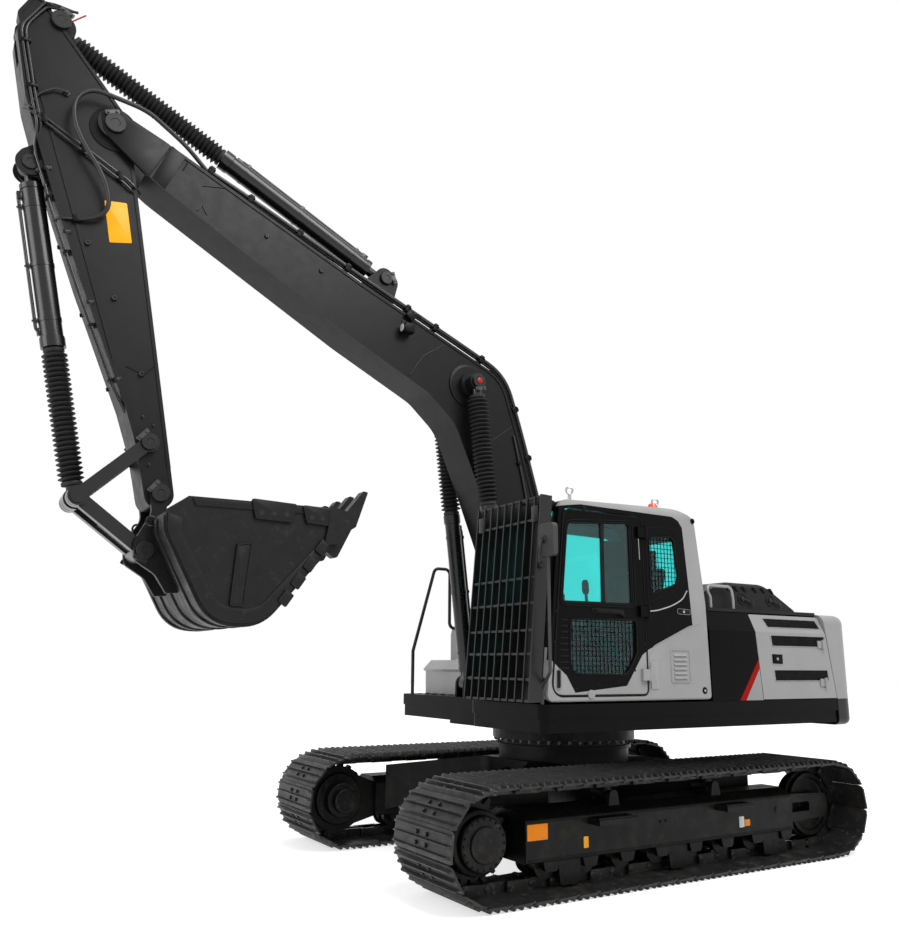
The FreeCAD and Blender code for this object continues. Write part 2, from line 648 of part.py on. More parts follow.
def idler(side):
    """The idler wheel with its centre flange and dished webs, on its axle."""
    y, tread = "track_gauge/2", "(track_tip_r - idler_in)"
    profile = [
        ("0", "-yoke_in + 0.5"), ("45", "-yoke_in + 0.5"), ("45", "-idler_wide/2 - 12"),
        ("95", "-idler_wide/2 - 12", "10"),
        ("105", "-idler_wide/2 + 25", "15"), (f"{tread} - 45", "-idler_wide/2 + 25", "15"),
        (f"{tread} - 35", "-idler_wide/2"), (tread, "-idler_wide/2"), (tread, "-chain_slot/2 + 4"),
        (f"{tread} + 20", "-chain_slot/2 + 10"),
    ]
    corners = [(corner[0], f"{y} + {corner[1]}", *corner[2:]) for corner in profile]
    corners += [(corner[0], f"{y} - ({corner[1]})", *corner[2:]) for corner in reversed(profile)]
    return lathe(f"{side}_idler_solid", corners, "-tumbler_span/2", "track_tip_r")


def rollers(side):
    """Track rollers under the frame, with a flange outside each tread, and the two carrier rollers."""
    y = "track_gauge/2"
    made = []
    for i in range(int(size["roller_count"])):
        place = (f"-roller_span/2 - 60 + roller_span*{i}/(roller_count - 1)", y,
                 f"{CHAIN_LOW} + roller_r + 1")
        parts = [rod(f"{side}_roller_axle_{i}", "32", "300 - 1", place),
                 rod(f"{side}_roller_drum_{i}", "roller_r - 18", "roller_wide - 10", place)]
        for k in (-1, 1):
            tread = (place[0], f"{y} + {k}*68", place[2])
            flange = (place[0], f"{y} + {k}*(roller_wide/2 - 10)", place[2])
            parts.append(rod(f"{side}_roller_tread_{i}_{k > 0}", "roller_r", "62", tread))
            parts.append(rod(f"{side}_roller_flange_{i}_{k > 0}", "roller_r + roller_flange", "20", flange))
        made.append(fuse(f"{side}_roller_{i}", *parts))
    for i, x in enumerate(("-carrier_span/2", "carrier_span/2")):
        z = f"{CHAIN_HIGH} - carrier_r - 1"
        drum = rod(f"{side}_carrier_drum_{i}", "carrier_r", "150", (x, f"{y} - 10", z))
        pin = rod(f"{side}_carrier_pin_{i}", "22", "40", (x, f"{y} + 81.5", z))
        made.append(fuse(f"{side}_carrier_{i}", drum, pin))
    return group(f"{side}_roller_set", *made)


def undercarriage():
    carbody()
    slewing_ring()
    for label, maker in (("track_frame", track_frame), ("track", track), ("final_drive", final_drive),
                         ("idler", idler), ("rollers", rollers)):
        left = maker("left")
        node(f"left_{label}", left)
        node(f"right_{label}", mirrored(f"right_{label}_solid", maker("right")))


# ---------------------------------------------------------------- upper structure

def boom_bracket(y):
    """One of the two plates that carry the boom's foot pin."""
    corners = [
        ("boom_foot_x - 430", f"{DECK} - 10"), ("boom_foot_x + 380", f"{DECK} - 10"),
        ("boom_foot_x + 130", f"{BOOM_FOOT_Z} + 130", "130"),
        ("boom_foot_x - 150", f"{BOOM_FOOT_Z} + 130", "130"),
    ]
    return plate(f"boom_bracket_{y > 0}", corners, "cheek", "XZ", f"{y}*({FOOT_WIDE}/2 + cheek/2)")


def lift_bracket(y, k):
    """One ear of a boom cylinder's foot clevis, standing on the frame's nose."""
    corners = [
        ("lift_foot_x - 160", f"{DECK} - 60"), ("lift_foot_x + 95", f"{DECK} - 60"),
        ("lift_foot_x + 85", f"{LIFT_FOOT_Z} + 75", "75"), ("lift_foot_x - 85", f"{LIFT_FOOT_Z} + 75", "75"),
    ]
    return plate(f"lift_ear_{k}", corners, "lug", "XZ", y)


def house_frame():
    """The revolving frame: deck and skirt over open bays, boom brackets and boom cylinder clevises."""
    plan = [
        ("house_front", "house_half", "70"), ("-house_rear", "house_half"), ("-house_rear", "-house_half"),
        ("frame_nose", "-house_half", "70"), ("frame_nose", "350"), ("house_front", "350", "60"),
    ]
    edge = outline("deck_plan", plan, "XY", f"{DECK} - skirt_band")
    band = extrude("skirt_upper", edge, "skirt_band", both=False)
    low = outline("skirt_plan", plan, "XY", f"{DECK} - skirt_tall")
    skirt = extrude("skirt_lower", inset("skirt_inset", low, "skirt_in"), "skirt_tall - skirt_band + 1",
                    both=False)
    centre = plate("frame_centre", [
        ("-house_rear", "-640"), ("frame_nose - 90", "-640", "120"), ("frame_nose - 90", "640", "120"),
        ("-house_rear", "640"),
    ], f"deck_tall - 20", "XY", f"{HOUSE_LOW} + (deck_tall - 20)/2")
    bays = []
    for i, (x0, x1, y0, y1) in enumerate((
        ("520", "house_front - 90", "690", "house_half - 50"), ("-420", "460", "690", "house_half - 50"),
        ("-1290", "-480", "690", "house_half - 50"), ("-house_rear + 60", "-1350", "690", "house_half - 50"),
        ("520", "frame_nose - 90", "50 - house_half", "-690"), ("-420", "460", "50 - house_half", "-690"),
        ("-1290", "-480", "50 - house_half", "-690"),
        ("-house_rear + 60", "-1350", "50 - house_half", "-690"),
    )):
        bays.append(block(f"frame_bay_{i}", (x0, y0, f"{HOUSE_LOW} - 10"), (x1, y1, f"{DECK} - 30")))
    well = rod("frame_well", "ring_in - 130", "deck_tall + 20", ("0", "0", f"{HOUSE_LOW} + 10"), "z")
    deck = cut("house_deck", fuse("house_slab", band, skirt, centre), well, *bays)
    boom_pin = rod("boom_foot_pin", "pin_r", f"{FOOT_WIDE} + 2*cheek + 2*pin_cap",
                   ("boom_foot_x", "0", BOOM_FOOT_Z))
    ears, pins = [], []
    for side in (1, -1):
        for k in (1, -1):
            ears.append(lift_bracket(f"{side}*(lift_y + {k}*{LUG_MID})", 2 * side + k))
        pins.append(rod(f"lift_foot_pin_{side > 0}", "pin_r", f"2*{LUG_OUT} + 4",
                        ("lift_foot_x", f"{side}*lift_y", LIFT_FOOT_Z)))
    node("house_frame", fuse("house_solid", deck, boom_bracket(1), boom_bracket(-1), boom_pin, *ears, *pins))


def counterweight():
    """The cast counterweight: its back follows the tail swing circle, and its front leans forward."""
    top, half = number(f"{BODY_TOP} + 20"), size["house_half"]
    low = top - size["weight_tall"]
    front = -size["weight_front"] + size["weight_lean"]
    edge = -math.sqrt(size["tail_r"]**2 - half**2)
    plan = Part.Wire([
        Part.LineSegment(Vec(front, -half, low), Vec(front, half, low)).toShape(),
        Part.LineSegment(Vec(front, half, low), Vec(edge, half, low)).toShape(),
        Part.Arc(Vec(edge, half, low), Vec(-size["tail_r"], 0, low), Vec(edge, -half, low)).toShape(),
        Part.LineSegment(Vec(edge, -half, low), Vec(front, -half, low)).toShape(),
    ])
    body = Part.Face(plan).extrude(Vec(0, 0, top - low))

    def rear_edges(z):
        return [e for e in body.Edges if abs(e.BoundBox.ZMin - z) < 1 and abs(e.BoundBox.ZMax - z) < 1
                and e.BoundBox.XMin < front - 1]

    corners = [e for e in body.Edges if e.BoundBox.ZLength > top - low - 1 and e.BoundBox.XMax < front - 20]
    body = body.makeFillet(180, corners)
    body = body.makeFillet(85, rear_edges(top))
    body = body.makeFillet(60, rear_edges(low))
    wedge = plate("weight_wedge", [
        ("-weight_front", "0"), ("0", "0"), ("0", f"{BODY_TOP} + 30"),
        ("-weight_front + weight_lean", f"{BODY_TOP} + 30"),
        ("-weight_front", DECK),
    ], "3*house_half")
    node("counterweight", cut("counterweight_body", shaped("counterweight_block", body), wedge))


def lean(z):
    """x of the cab's front face at a height."""
    return f"(cab_front - cab_lean*(({z}) - {CAB_BASE})/(cab_tall - cab_lift - 50))"


def rear_lean(z):
    """x of the cab's rear face at a height over its kink."""
    return f"(-cab_rear + 15 + 95*(({z}) - {DECK} - 815)/750)"


CAB_SIDE = [
    ("-cab_rear", CAB_BASE, "40"), ("cab_front", CAB_BASE, "60"),
    ("cab_front - cab_lean", f"{CAB_TOP} - 50", "95"),
    ("-240", CAB_TOP, "300"), ("-cab_rear + 110", f"{CAB_TOP} - 80", "120"),
    ("-cab_rear + 15", f"{DECK} + 815", "400"),
]
CAB_FRONT = [
    (CAB_IN, CAB_BASE, "20"), (CAB_OUT, CAB_BASE, "20"), (CAB_OUT, f"{CAB_TOP} + 2", "85"),
    (CAB_IN, f"{CAB_TOP} + 2", "85"),
]
DOORWAY = [
    ("door_rear", f"{CAB_BASE} + 35", "60"), ("cab_front - 32", f"{CAB_BASE} + 35", "110"),
    ("cab_front - 180", f"{CAB_TOP} - 115", "80"), ("door_rear", f"{CAB_TOP} - 115", "60"),
]
DOOR_UPPER = [
    ("door_rear + 132", f"{SILL} + 35", "45"), ("cab_front - 150", f"{SILL} + 23", "50"),
    ("cab_front - 218", f"{CAB_TOP} - 227", "70"), ("door_rear + 138", f"{CAB_TOP} - 176", "60"),
]
DOOR_LOWER = [
    ("door_rear + 230", f"{CAB_BASE} + 195", "110"), ("cab_front - 220", f"{CAB_BASE} + 205", "110"),
    ("cab_front - 230", f"{SILL} - 86", "50"), ("door_rear + 104", f"{SILL} - 71", "50"),
    ("door_rear + 112", f"{SILL} - 355", "90"),
]
QUARTER = [
    ("-cab_rear + 305", f"{SILL} + 238", "110"), ("door_rear - 52", f"{SILL} + 126", "40"),
    ("door_rear - 52", f"{CAB_TOP} - 278", "50"), ("-cab_rear + 360", f"{CAB_TOP} - 253", "70"),
]
RIGHT_WINDOW = [
    ("-cab_rear + 190", f"{SILL} - 60", "60"), ("cab_front - 150", f"{SILL} - 60", "60"),
    ("cab_front - 230", f"{CAB_TOP} - 150", "60"), ("-cab_rear + 230", f"{CAB_TOP} - 170", "90"),
]
WINDSCREENS = ((f"{DECK} + 165", f"{DECK} + 640"), (f"{DECK} + 690", f"{CAB_TOP} - 140"))


def slope_pane(name, foot, head, line, near, far, half):
    """A flat pane along one of the cab's leaning faces, between two heights and two depths."""
    corners = [(f"{line(foot)} + {near}", foot), (f"{line(foot)} + {far}", foot),
               (f"{line(head)} + {far}", head), (f"{line(head)} + {near}", head)]
    return plate(name, corners, half, "XZ", CAB_MID)


def cab():
    """The cab: a hollow shell rounded over its roof, with its windows and doorway cut."""
    side = outline("cab_side", CAB_SIDE, "XZ", CAB_MID)
    front = outline("cab_face", CAB_FRONT, "YZ", "0")
    outer = common("cab_outer", extrude("cab_long", side, "cab_wide + 10"),
                   extrude("cab_deep", front, "4*cab_front"))
    room = common("cab_room", extrude("room_long", inset("room_side", side, "panel"), "cab_wide"),
                  extrude("room_deep", inset("room_face", front, "panel"), "4*cab_front"))
    holes = [
        plate("cab_doorway", DOORWAY, "3*panel", "XZ", f"{CAB_OUT} - panel/2"),
        plate("cab_quarter", QUARTER, "3*panel", "XZ", f"{CAB_OUT} - panel/2"),
        plate("cab_right_window", RIGHT_WINDOW, "3*panel", "XZ", f"{CAB_IN} + panel/2"),
    ]
    for i, (foot, head) in enumerate(WINDSCREENS):
        holes.append(slope_pane(f"cab_screen_{i}", foot, head, lean, "-100", "60", "cab_wide - 150"))
    holes.append(slope_pane("cab_rear_window", f"{DECK} + 880", f"{CAB_TOP} - 250", rear_lean, "-60", "100",
                            "cab_wide - 240"))
    holes.append(block("cab_hatch", ("cab_front - 680", f"{CAB_IN} + 190", f"{CAB_TOP} - 130"),
                       ("cab_front - 330", f"{CAB_OUT} - 190", f"{CAB_TOP} + 50")))
    node("cab_shell", cut("cab_body", outer, room, *holes))


def cab_door():
    """The hinged door: a leaf that fills its doorway less a gap, with an upper and a lower pane."""
    wall = f"{CAB_OUT} - panel/2"
    leaf = extrude("door_leaf", inset("door_edge", outline("door_way", DOORWAY, "XZ", wall), "gap"), "panel")
    panes, windows = [], []
    for name, corners in (("upper", DOOR_UPPER), ("lower", DOOR_LOWER)):
        sketch = outline(f"door_{name}_sketch", corners, "XZ", wall)
        windows.append(extrude(f"door_{name}_window", sketch, "3*panel"))
        panes.append(extrude(f"door_{name}_glass", inset(f"door_{name}_pane", sketch, "seal"), "glass"))
    hinges = []
    for i, z in enumerate((f"{CAB_BASE} + 205", f"{SILL} - 10", f"{CAB_TOP} - 255")):
        hinges.append(rod(f"door_hinge_{i}", "16", "110", ("door_rear - 4", f"{CAB_OUT} + 20", z), "z"))
        hinges.append(block(f"door_hinge_arm_{i}", ("door_rear - 4", f"{CAB_OUT} - 5", f"{z} - 45"),
                            ("door_rear + 85", f"{CAB_OUT} + 28", f"{z} + 45")))
        hinges.append(block(f"door_hinge_room_{i}", ("door_rear - 60", f"{CAB_OUT} - 60", f"{z} - 60"),
                            ("door_rear + 12", f"{CAB_OUT} + 0.5", f"{z} + 60")))
    frame = cut("door_frame", leaf, *windows)
    arms = cut("door_hinge_arms", group("door_hinge_set", *hinges[1::3]),
               group("door_hinge_rooms", *hinges[2::3]))
    node("cab_door", fuse("door_solid", frame, arms, *hinges[0::3]))
    node("door_glass", group("door_panes", *panes))


def cab_glass():
    """The fixed panes, each seated in its window."""
    panes = []
    for name, corners, wall in (("quarter", QUARTER, f"{CAB_OUT} - panel/2"),
                                ("right", RIGHT_WINDOW, f"{CAB_IN} + panel/2")):
        sketch = outline(f"{name}_sketch", corners, "XZ", wall)
        panes.append(extrude(f"{name}_glass", inset(f"{name}_pane", sketch, "seal"), "glass"))
    for i, (foot, head) in enumerate(WINDSCREENS):
        panes.append(slope_pane(f"screen_pane_{i}", f"{foot} + seal", f"{head} - seal", lean, "-26", "-14",
                                "cab_wide - 150 - 2*seal"))
    panes.append(slope_pane("rear_pane", f"{DECK} + 880 + seal", f"{CAB_TOP} - 250 - seal", rear_lean, "14",
                            "26",
                            "cab_wide - 240 - 2*seal"))
    panes.append(block("roof_pane", ("cab_front - 680 + seal", f"{CAB_IN} + 190 + seal", f"{CAB_TOP} - 65"),
                       ("cab_front - 330 - seal", f"{CAB_OUT} - 190 - seal", f"{CAB_TOP} - 53")))
    node("cab_glass", group("cab_panes", *panes))


def cab_inside():
    """The operator's seat, its two consoles and the travel pedals."""
    seat = plate("seat_body", [
        ("-100", f"{CAB_FLOOR} + 370", "30"), ("460", f"{CAB_FLOOR} + 370", "50"),
        ("460", f"{CAB_FLOOR} + 500", "50"),
        ("10", f"{CAB_FLOOR} + 470", "60"), ("-190", f"{CAB_FLOOR} + 1080", "45"),
        ("-310", f"{CAB_FLOOR} + 1080", "45"),
        ("-150", f"{CAB_FLOOR} + 500", "80"),
    ], "480", "XZ", CAB_MID)
    head = block("seat_head", ("-300", f"{CAB_MID} - 130", f"{CAB_FLOOR} + 1030"),
                 ("-225", f"{CAB_MID} + 130", f"{CAB_FLOOR} + 1250"))
    base = block("seat_base", ("0", f"{CAB_MID} - 180", CAB_FLOOR),
                 ("360", f"{CAB_MID} + 180", f"{CAB_FLOOR} + 400"))
    node("operator_seat", fuse("seat_solid", seat, head, base))
    arms = []
    for k, y in enumerate((f"{CAB_MID} - 330", f"{CAB_MID} + 330")):
        pod = plate(f"console_pod_{k}", [
            ("-40", f"{CAB_FLOOR} + 470", "30"), ("470", f"{CAB_FLOOR} + 470", "40"),
            ("470", f"{CAB_FLOOR} + 600", "40"),
            ("-40", f"{CAB_FLOOR} + 560", "30"),
        ], "120", "XZ", y)
        foot = plate(f"console_foot_{k}", [
            ("0", CAB_FLOOR), ("320", CAB_FLOOR), ("260", f"{CAB_FLOOR} + 480"), ("60", f"{CAB_FLOOR} + 480"),
        ], "80", "XZ", y)
        stick = rod(f"console_stick_{k}", "14", "170", ("420", y, f"{CAB_FLOOR} + 680"), "z")
        grip = rod(f"console_grip_{k}", "24", "110", ("420", y, f"{CAB_FLOOR} + 800"), "z")
        arms.append(fuse(f"console_{k}", pod, foot, stick, grip))
    node("control_consoles", group("consoles", *arms))
    pedals = []
    for k, y in enumerate((f"{CAB_MID} - 75", f"{CAB_MID} + 75")):
        tread = block(f"pedal_tread_{k}", ("760", f"{y} - 50", CAB_FLOOR),
                      ("900", f"{y} + 50", f"{CAB_FLOOR} + 45"))
        lever = rod(f"pedal_lever_{k}", "11", "420", ("860", y, f"{CAB_FLOOR} + 240"), "z")
        grip = rod(f"pedal_grip_{k}", "17", "90", ("860", y, f"{CAB_FLOOR} + 480"), "z")
        pedals.append(fuse(f"pedal_{k}", tread, lever, grip))
    node("travel_pedals", group("pedal_pair", *pedals))


def guard_line(z):
    """x of the front guard's back face at a height."""
    return f"(cab_front + guard_reach - 0.0912*(({z}) - {DECK} - 25))"


def leaning_bar(name, foot, head, line, near, far, thick, at):
    """A bar between two depths from a leaning line."""
    corners = [(f"{line(foot)} + {near}", foot), (f"{line(foot)} + {far}", foot),
               (f"{line(head)} + {far}", head), (f"{line(head)} + {near}", head)]
    return plate(name, corners, thick, "XZ", at)


def cab_guard():
    """The barred guard before the windscreen, on four stand-offs from the cab's face."""
    foot, head = f"{DECK} + 15", f"{CAB_TOP} - 30"
    inner, outer = f"({CAB_IN} + 8)", f"({CAB_OUT} - 5)"
    parts = []
    for i in range(int(size["guard_bars"])):
        y = f"{inner} + guard_bar/2 + ({outer} - {inner} - guard_bar)*{i}/(guard_bars - 1)"
        parts.append(leaning_bar(f"guard_bar_{i}", foot, head, guard_line, "0", "guard_bar", "guard_bar", y))
    parts.append(leaning_bar("guard_post", foot, head, guard_line, "-34", "30", "guard_bar",
                             f"{outer} - guard_bar/2"))
    for i, high in enumerate((15, 175, 365, 545, 755, 955, 1415, 1597)):
        z = f"({DECK} + {high})"
        parts.append(block(f"guard_row_{i}", (f"{guard_line(z)} - 14", inner, z),
                           (f"{guard_line(z)} + 5", outer, f"{z} + 18")))
    for i, y in enumerate((f"{inner} + 60", f"{outer} - 60")):
        for k, z in enumerate((f"({DECK} + 168)", f"({DECK} + 1408)")):
            corners = [(f"{lean(z)} + 1", z), (f"{guard_line(z)} - 2", z),
                       (f"{guard_line(z)} - 4", f"{z} + 30"),
                       (f"{lean(f'{z} + 30')} + 1", f"{z} + 30")]
            parts.append(plate(f"guard_stay_{i}_{k}", corners, "30", "XZ", y))
    node("front_guard", fuse("guard_solid", *parts))


def panel_profile(name, side, x0, x1):
    """A side panel's cross-section with its shoulder, drawn out along the machine between two places."""
    out, top = "house_half", "house_half - shoulder_in"
    corners = [
        (f"{side}*({out})", f"{DECK} + 2"), (f"{side}*({out})", SHOULDER), (f"{side}*({top})", BODY_TOP),
        (f"{side}*({top} - panel)", BODY_TOP), (f"{side}*({out} - panel)", f"{SHOULDER} - 4"),
        (f"{side}*({out} - panel)", f"{DECK} + 2"),
    ]
    return extrude(name, outline(name + "_sketch", corners, "YZ", x0), f"({x1}) - ({x0})", both=False)


def rear_door(label, side):
    """A side door before the counterweight, hung on a rear edge that slants with it."""
    leaf = common(f"{label}_leaf", panel_profile(f"{label}_skin", side, "-weight_front", "-door_seam + 100"),
                  plate(f"{label}_edge", [
        ("-weight_front + gap", f"{DECK} + gap"), ("-door_seam - gap/2", f"{DECK} + gap"),
        ("-door_seam + 70 - gap/2", f"{BODY_TOP} - gap"),
        ("-weight_front + weight_lean + gap", f"{BODY_TOP} - gap"),
    ], "3*house_half"))
    parts = [leaf]
    x, y = "(-weight_front + weight_lean + 40)", f"{side}*(house_half + 15)"
    for i, z in enumerate((f"{DECK} + 150", f"{DECK} + 500")):
        parts.append(rod(f"{label}_hinge_{i}", "15", "90", (x, y, z), "z"))
        low, high = (f"{x} - 12", f"{x} + 70")
        ys = ("house_half - 6", "house_half + 10") if side > 0 else ("-house_half - 10", "6 - house_half")
        parts.append(block(f"{label}_strap_{i}", (low, ys[0], f"{z} - 35"), (high, ys[1], f"{z} + 35")))
    return fuse(f"{label}_door", *parts)


def side_bodies():
    """What stands on the deck: panels, doors, hood, tanks, engine and what is behind the doors."""
    node("left_side_panel", common("left_panel", panel_profile("left_panel_skin", 1, "-door_seam - 50",
                                                               "-cab_rear"), plate("left_panel_edge", [
        ("-door_seam + gap/2", f"{DECK} + 2"), ("-cab_rear - gap", f"{DECK} + 2"),
        ("-cab_rear - gap", BODY_TOP),
        ("-door_seam + 70 + gap/2", BODY_TOP),
    ], "3*house_half")))
    node("left_rear_door", rear_door("left", 1))
    node("right_pump_door", rear_door("right", -1))
    node("engine", plate("engine_block", [
        ("-1950", f"{DECK} + 60"), ("-1330", f"{DECK} + 60"), ("-1330", f"{BODY_TOP} - 160", "60"),
        ("-1950", f"{BODY_TOP} - 160", "60"),
    ], "1180", "XZ", "-30"))
    node("radiator", block("radiator_core", ("-1960", "820", f"{DECK} + 2"),
                           ("-1330", "1080", f"{BODY_TOP} - 60")))
    pump = rod("pump_body", "150", "330", ("-1640", "-940", f"{DECK} + 250"))
    saddle = block("pump_saddle", ("-1740", "-1060", f"{DECK} + 2"), ("-1540", "-820", f"{DECK} + 130"))
    node("main_pump", fuse("pump_solid", pump, saddle))
    half = "house_half - panel - shoulder_in - 15"
    node("firewall", block("firewall_plate", ("-door_seam - 60", f"-({half})", f"{DECK} + 2"),
                           ("-door_seam - 20", half, f"{BODY_TOP} - 40")))
    rear = "(-weight_front + weight_lean + 8)"
    hump = [
        ("-560", f"{BODY_TOP} + 6"), ("-640", f"{BODY_TOP} + 170", "80"),
        ("-1000", f"{BODY_TOP} + 287", "120"),
        ("-1480", f"{BODY_TOP} + 287", "160"), ("-1860", f"{BODY_TOP} + 60", "60"),
        ("-1905", f"{BODY_TOP} + 6"),
    ]
    side = outline("hump_sketch", hump, "XZ", "690")
    face = outline("hump_face", [
        ("145", BODY_TOP), ("1235", BODY_TOP), ("1235 - 40", f"{BODY_TOP} + 300", "90"),
        ("185", f"{BODY_TOP} + 300", "90"),
    ], "YZ", "-2500")
    bump = common("hump_solid", extrude("hump_long", side, "1100"),
                  extrude("hump_deep", face, "2400", both=False))
    hollow = common("hump_hollow", extrude("hump_room", inset("hump_inner", side, "30"), "1040 - 20"),
                    extrude("hump_room_deep", inset("hump_inner_face", face, "30"), "2400", both=False))
    below = block("hump_below", ("-1800", "200", f"{BODY_TOP} - 10"), ("-640", "1180", f"{BODY_TOP} + 45"))
    wide = "(house_half - shoulder_in)"
    lid = plate("hood_lid", [
        (rear, f"-{wide}", "30"), ("-door_seam + 70", f"-{wide}", "30"), ("-door_seam + 70", "140"),
        ("-cab_rear - 70", "140"),
        ("-cab_rear - 70", wide, "30"), (rear, wide, "30"),
    ], "30", "XY", f"{BODY_TOP} + 21")
    knuckles = [rod(f"hood_hinge_{i}", "14", "160", (rear, y, f"{BODY_TOP} + 40")) for i,
                y in enumerate(("-900", "0", "900"))]
    node("engine_hood", fuse("hood_solid", cut("hood_body", fuse("hood_shell", lid, bump), hollow, below),
                             *knuckles))
    node("centre_cover", plate("centre_cover_plate", [
        ("-1115", f"{DECK} + 2"), ("-190", f"{DECK} + 2"), ("-190", f"{BODY_TOP} - 120", "80"),
        ("-290", f"{BODY_TOP} - 60", "60"),
        ("-1115", f"{BODY_TOP} - 60"),
    ], "880", "XZ", "-120"))
    for name, corners in (
        ("hydraulic_tank", [("-1115", f"{DECK} + 2"), ("-360", f"{DECK} + 2"), ("-360", BODY_TOP, "30"),
                            ("-1115", BODY_TOP, "30")]),
        ("fuel_tank", [("-350", f"{DECK} + 2"), ("415", f"{DECK} + 2", "40"),
                       ("415", f"{BODY_TOP} - 60", "70"),
                       ("-350", BODY_TOP, "40")]),
    ):
        section = outline(f"{name}_section", [
            ("-570", f"{DECK} + 2"), ("-570", BODY_TOP, "30"), (f"-{wide}", BODY_TOP, "35"),
            ("-house_half", SHOULDER, "60"),
            ("-house_half", f"{DECK} + 2"),
        ], "YZ", "-1200")
        node(name, common(f"{name}_solid", plate(f"{name}_body", corners, "3*house_half"),
                          extrude(f"{name}_profile", section, "1800", both=False)))
    walls = [("430", f"{DECK} + 2"), ("735", f"{DECK} + 2"), ("735", "1560"), ("657", "1638"),
             ("430", "1638")]
    case = outline("toolbox_case", walls, "XZ", "-(house_half + 620)/2")
    room = [("442", f"{DECK} + 14"), ("723", f"{DECK} + 14"), ("723", "1555"), ("640", "1700"),
            ("442", "1700")]
    node("toolbox", cut("toolbox_shell", extrude("toolbox_outer", case, "house_half - 680"),
                        plate("toolbox_inside", room, "house_half - 704", "XZ", "-(house_half + 620)/2")))
    lid = plate("toolbox_lid_plate", [
        ("434", "1646"), ("660", "1646"), ("746", "1560"), ("764", "1578"), ("670", "1670"), ("434", "1670"),
    ], "house_half - 672", "XZ", "-(house_half + 620)/2")
    knuckles = [rod(f"toolbox_hinge_{i}", "12", "70", ("446", y, "1672")) for i,
                y in enumerate(("-1180", "-790"))]
    node("toolbox_lid", fuse("toolbox_lid_solid", lid, *knuckles))


def fittings():
    """Handrails, the mirror, the work lamps and what stands on the cab's roof."""
    node("right_handrail", tube("right_rail", [
        (415, -1250, 2000), (415 + 90, -1250, 2000), (505, -1250, 2620), (690, -1250, 2620),
        (940, -1250, 1760),
        (940, -1250, number(DECK) + 1),
    ], 17, 60))
    top = number(BODY_TOP)
    node("hood_handrail", tube("hood_rail", [
        (-690, 1272, top + 37), (-690, 1272, top + 130), (-650, 1255, top + 235), (-980, 1255, top + 235),
        (-980, 1272, top + 130), (-980, 1272, top + 37),
    ], 14, 45))
    out = size["house_half"]
    arm = tube("mirror_arm", [
        (1235, out - 40, number(DECK) + 1), (1235, out - 40, number(DECK) + 120),
        (1262, out + 98, number(DECK) + 240),
        (1262, out + 98, 2690),
    ], 13, 45)
    glass = plate("mirror_glass", [("-95", "2440", "40"), ("95", "2440", "40"), ("95", "2700", "40"),
                                   ("-95", "2700", "40")],
                  "45", "YZ", "1262")
    glass.Placement.Base.y = out + 98
    node("cab_mirror", fuse("mirror_solid", arm, glass))


def boom():
    """The boom: a gooseneck box girder with its foot tube, cylinder bosses and tip fork."""
    side = [
        ("-190", "-60", "150"), ("130", "-210", "120"), ("1450", "420", "1500"), ("2050", "680", "450"),
        ("2420", "672", "400"), ("3280", "415", "1500"), ("5180", "-62", "900"),
        ("boom_length + 130", "-130", "128"),
        ("boom_length + 130", "130", "128"), ("boom_length - 80", "150", "300"), ("5320", "280", "900"),
        ("3560", "860", "2500"), ("2500", "1245", "700"), ("2010", "1420", "380"), ("1500", "1140", "1600"),
        ("-60", "200", "150"),
    ]
    box = girder("boom", side, "boom_wide")
    tip_slot = block("boom_tip_slot", ("boom_length - tip_slot", f"-{TIP_IN}", "-400"),
                     ("boom_length + 300", TIP_IN, "400"))
    foot = rod("boom_foot_tube", "125", f"{FOOT_WIDE} - 2*side_play", ("0", "0", "0"))
    foot_bore = rod("boom_foot_bore", "pin_r + pin_fit", FOOT_WIDE, ("0", "0", "0"))
    lift_boss = rod("boom_lift_boss", "115", "2*(lift_y - eye_half - side_play)",
                    ("boom_rod_u", "0", "boom_rod_v"))
    lift_ring = rod("boom_lift_ring", "180", "boom_wide + 24", ("boom_rod_u", "0", "boom_rod_v"))
    tip_ring = rod("boom_tip_ring", "128", "boom_wide + 24", ("boom_length", "0", "0"))
    cheek = plate("boom_tip_cheek", [
        ("boom_length - 900", "40", "60"), ("boom_length - 300", "-75", "60"),
        ("boom_length + 20", "-100", "90"),
        ("boom_length + 20", "100", "90"), ("boom_length - 300", "130", "60"),
        ("boom_length - 800", "260", "60"),
    ], "boom_wide")
    ears = [
        plate(f"boom_ear_{k}", [
            ("arm_base_u - 330", "arm_base_v - 330"), ("arm_base_u + 120", "arm_base_v - 400"),
            ("arm_base_u + 100", "arm_base_v + 90", "90"), ("arm_base_u - 100", "arm_base_v + 90", "90"),
        ], "lug", "XZ", f"{k}*{LUG_MID}")
        for k in (-1, 1)
    ]
    arm_pin = rod("boom_arm_pin", "pin_r", "boom_wide + 24 + 2*pin_cap", ("boom_length", "0", "0"))
    arm_cap = rod("boom_arm_cap", "70", "boom_wide + 24 + pin_cap", ("boom_length", "0", "0"))
    base_pin = rod("boom_base_pin", "pin_r", f"2*{LUG_OUT} + 2*pin_cap", ("arm_base_u", "0", "arm_base_v"))
    body = cut("boom_body", fuse("boom_solid", box, foot, lift_boss, lift_ring, tip_ring, cheek, arm_cap),
               foot_bore, tip_slot)
    node("boom", fuse("boom_whole", body, *ears, arm_pin, base_pin),
         size["boom_foot_x"], number(BOOM_FOOT_Z), size["boom_angle"])


def polar(origin, angle, along, across=0.0):
    """A point given along and across a direction in the boom's plane, as (x, z)."""
    turn = math.radians(angle)
    return (origin[0] + along * math.cos(turn) - across * math.sin(turn),
            origin[1] + along * math.sin(turn) + across * math.cos(turn))


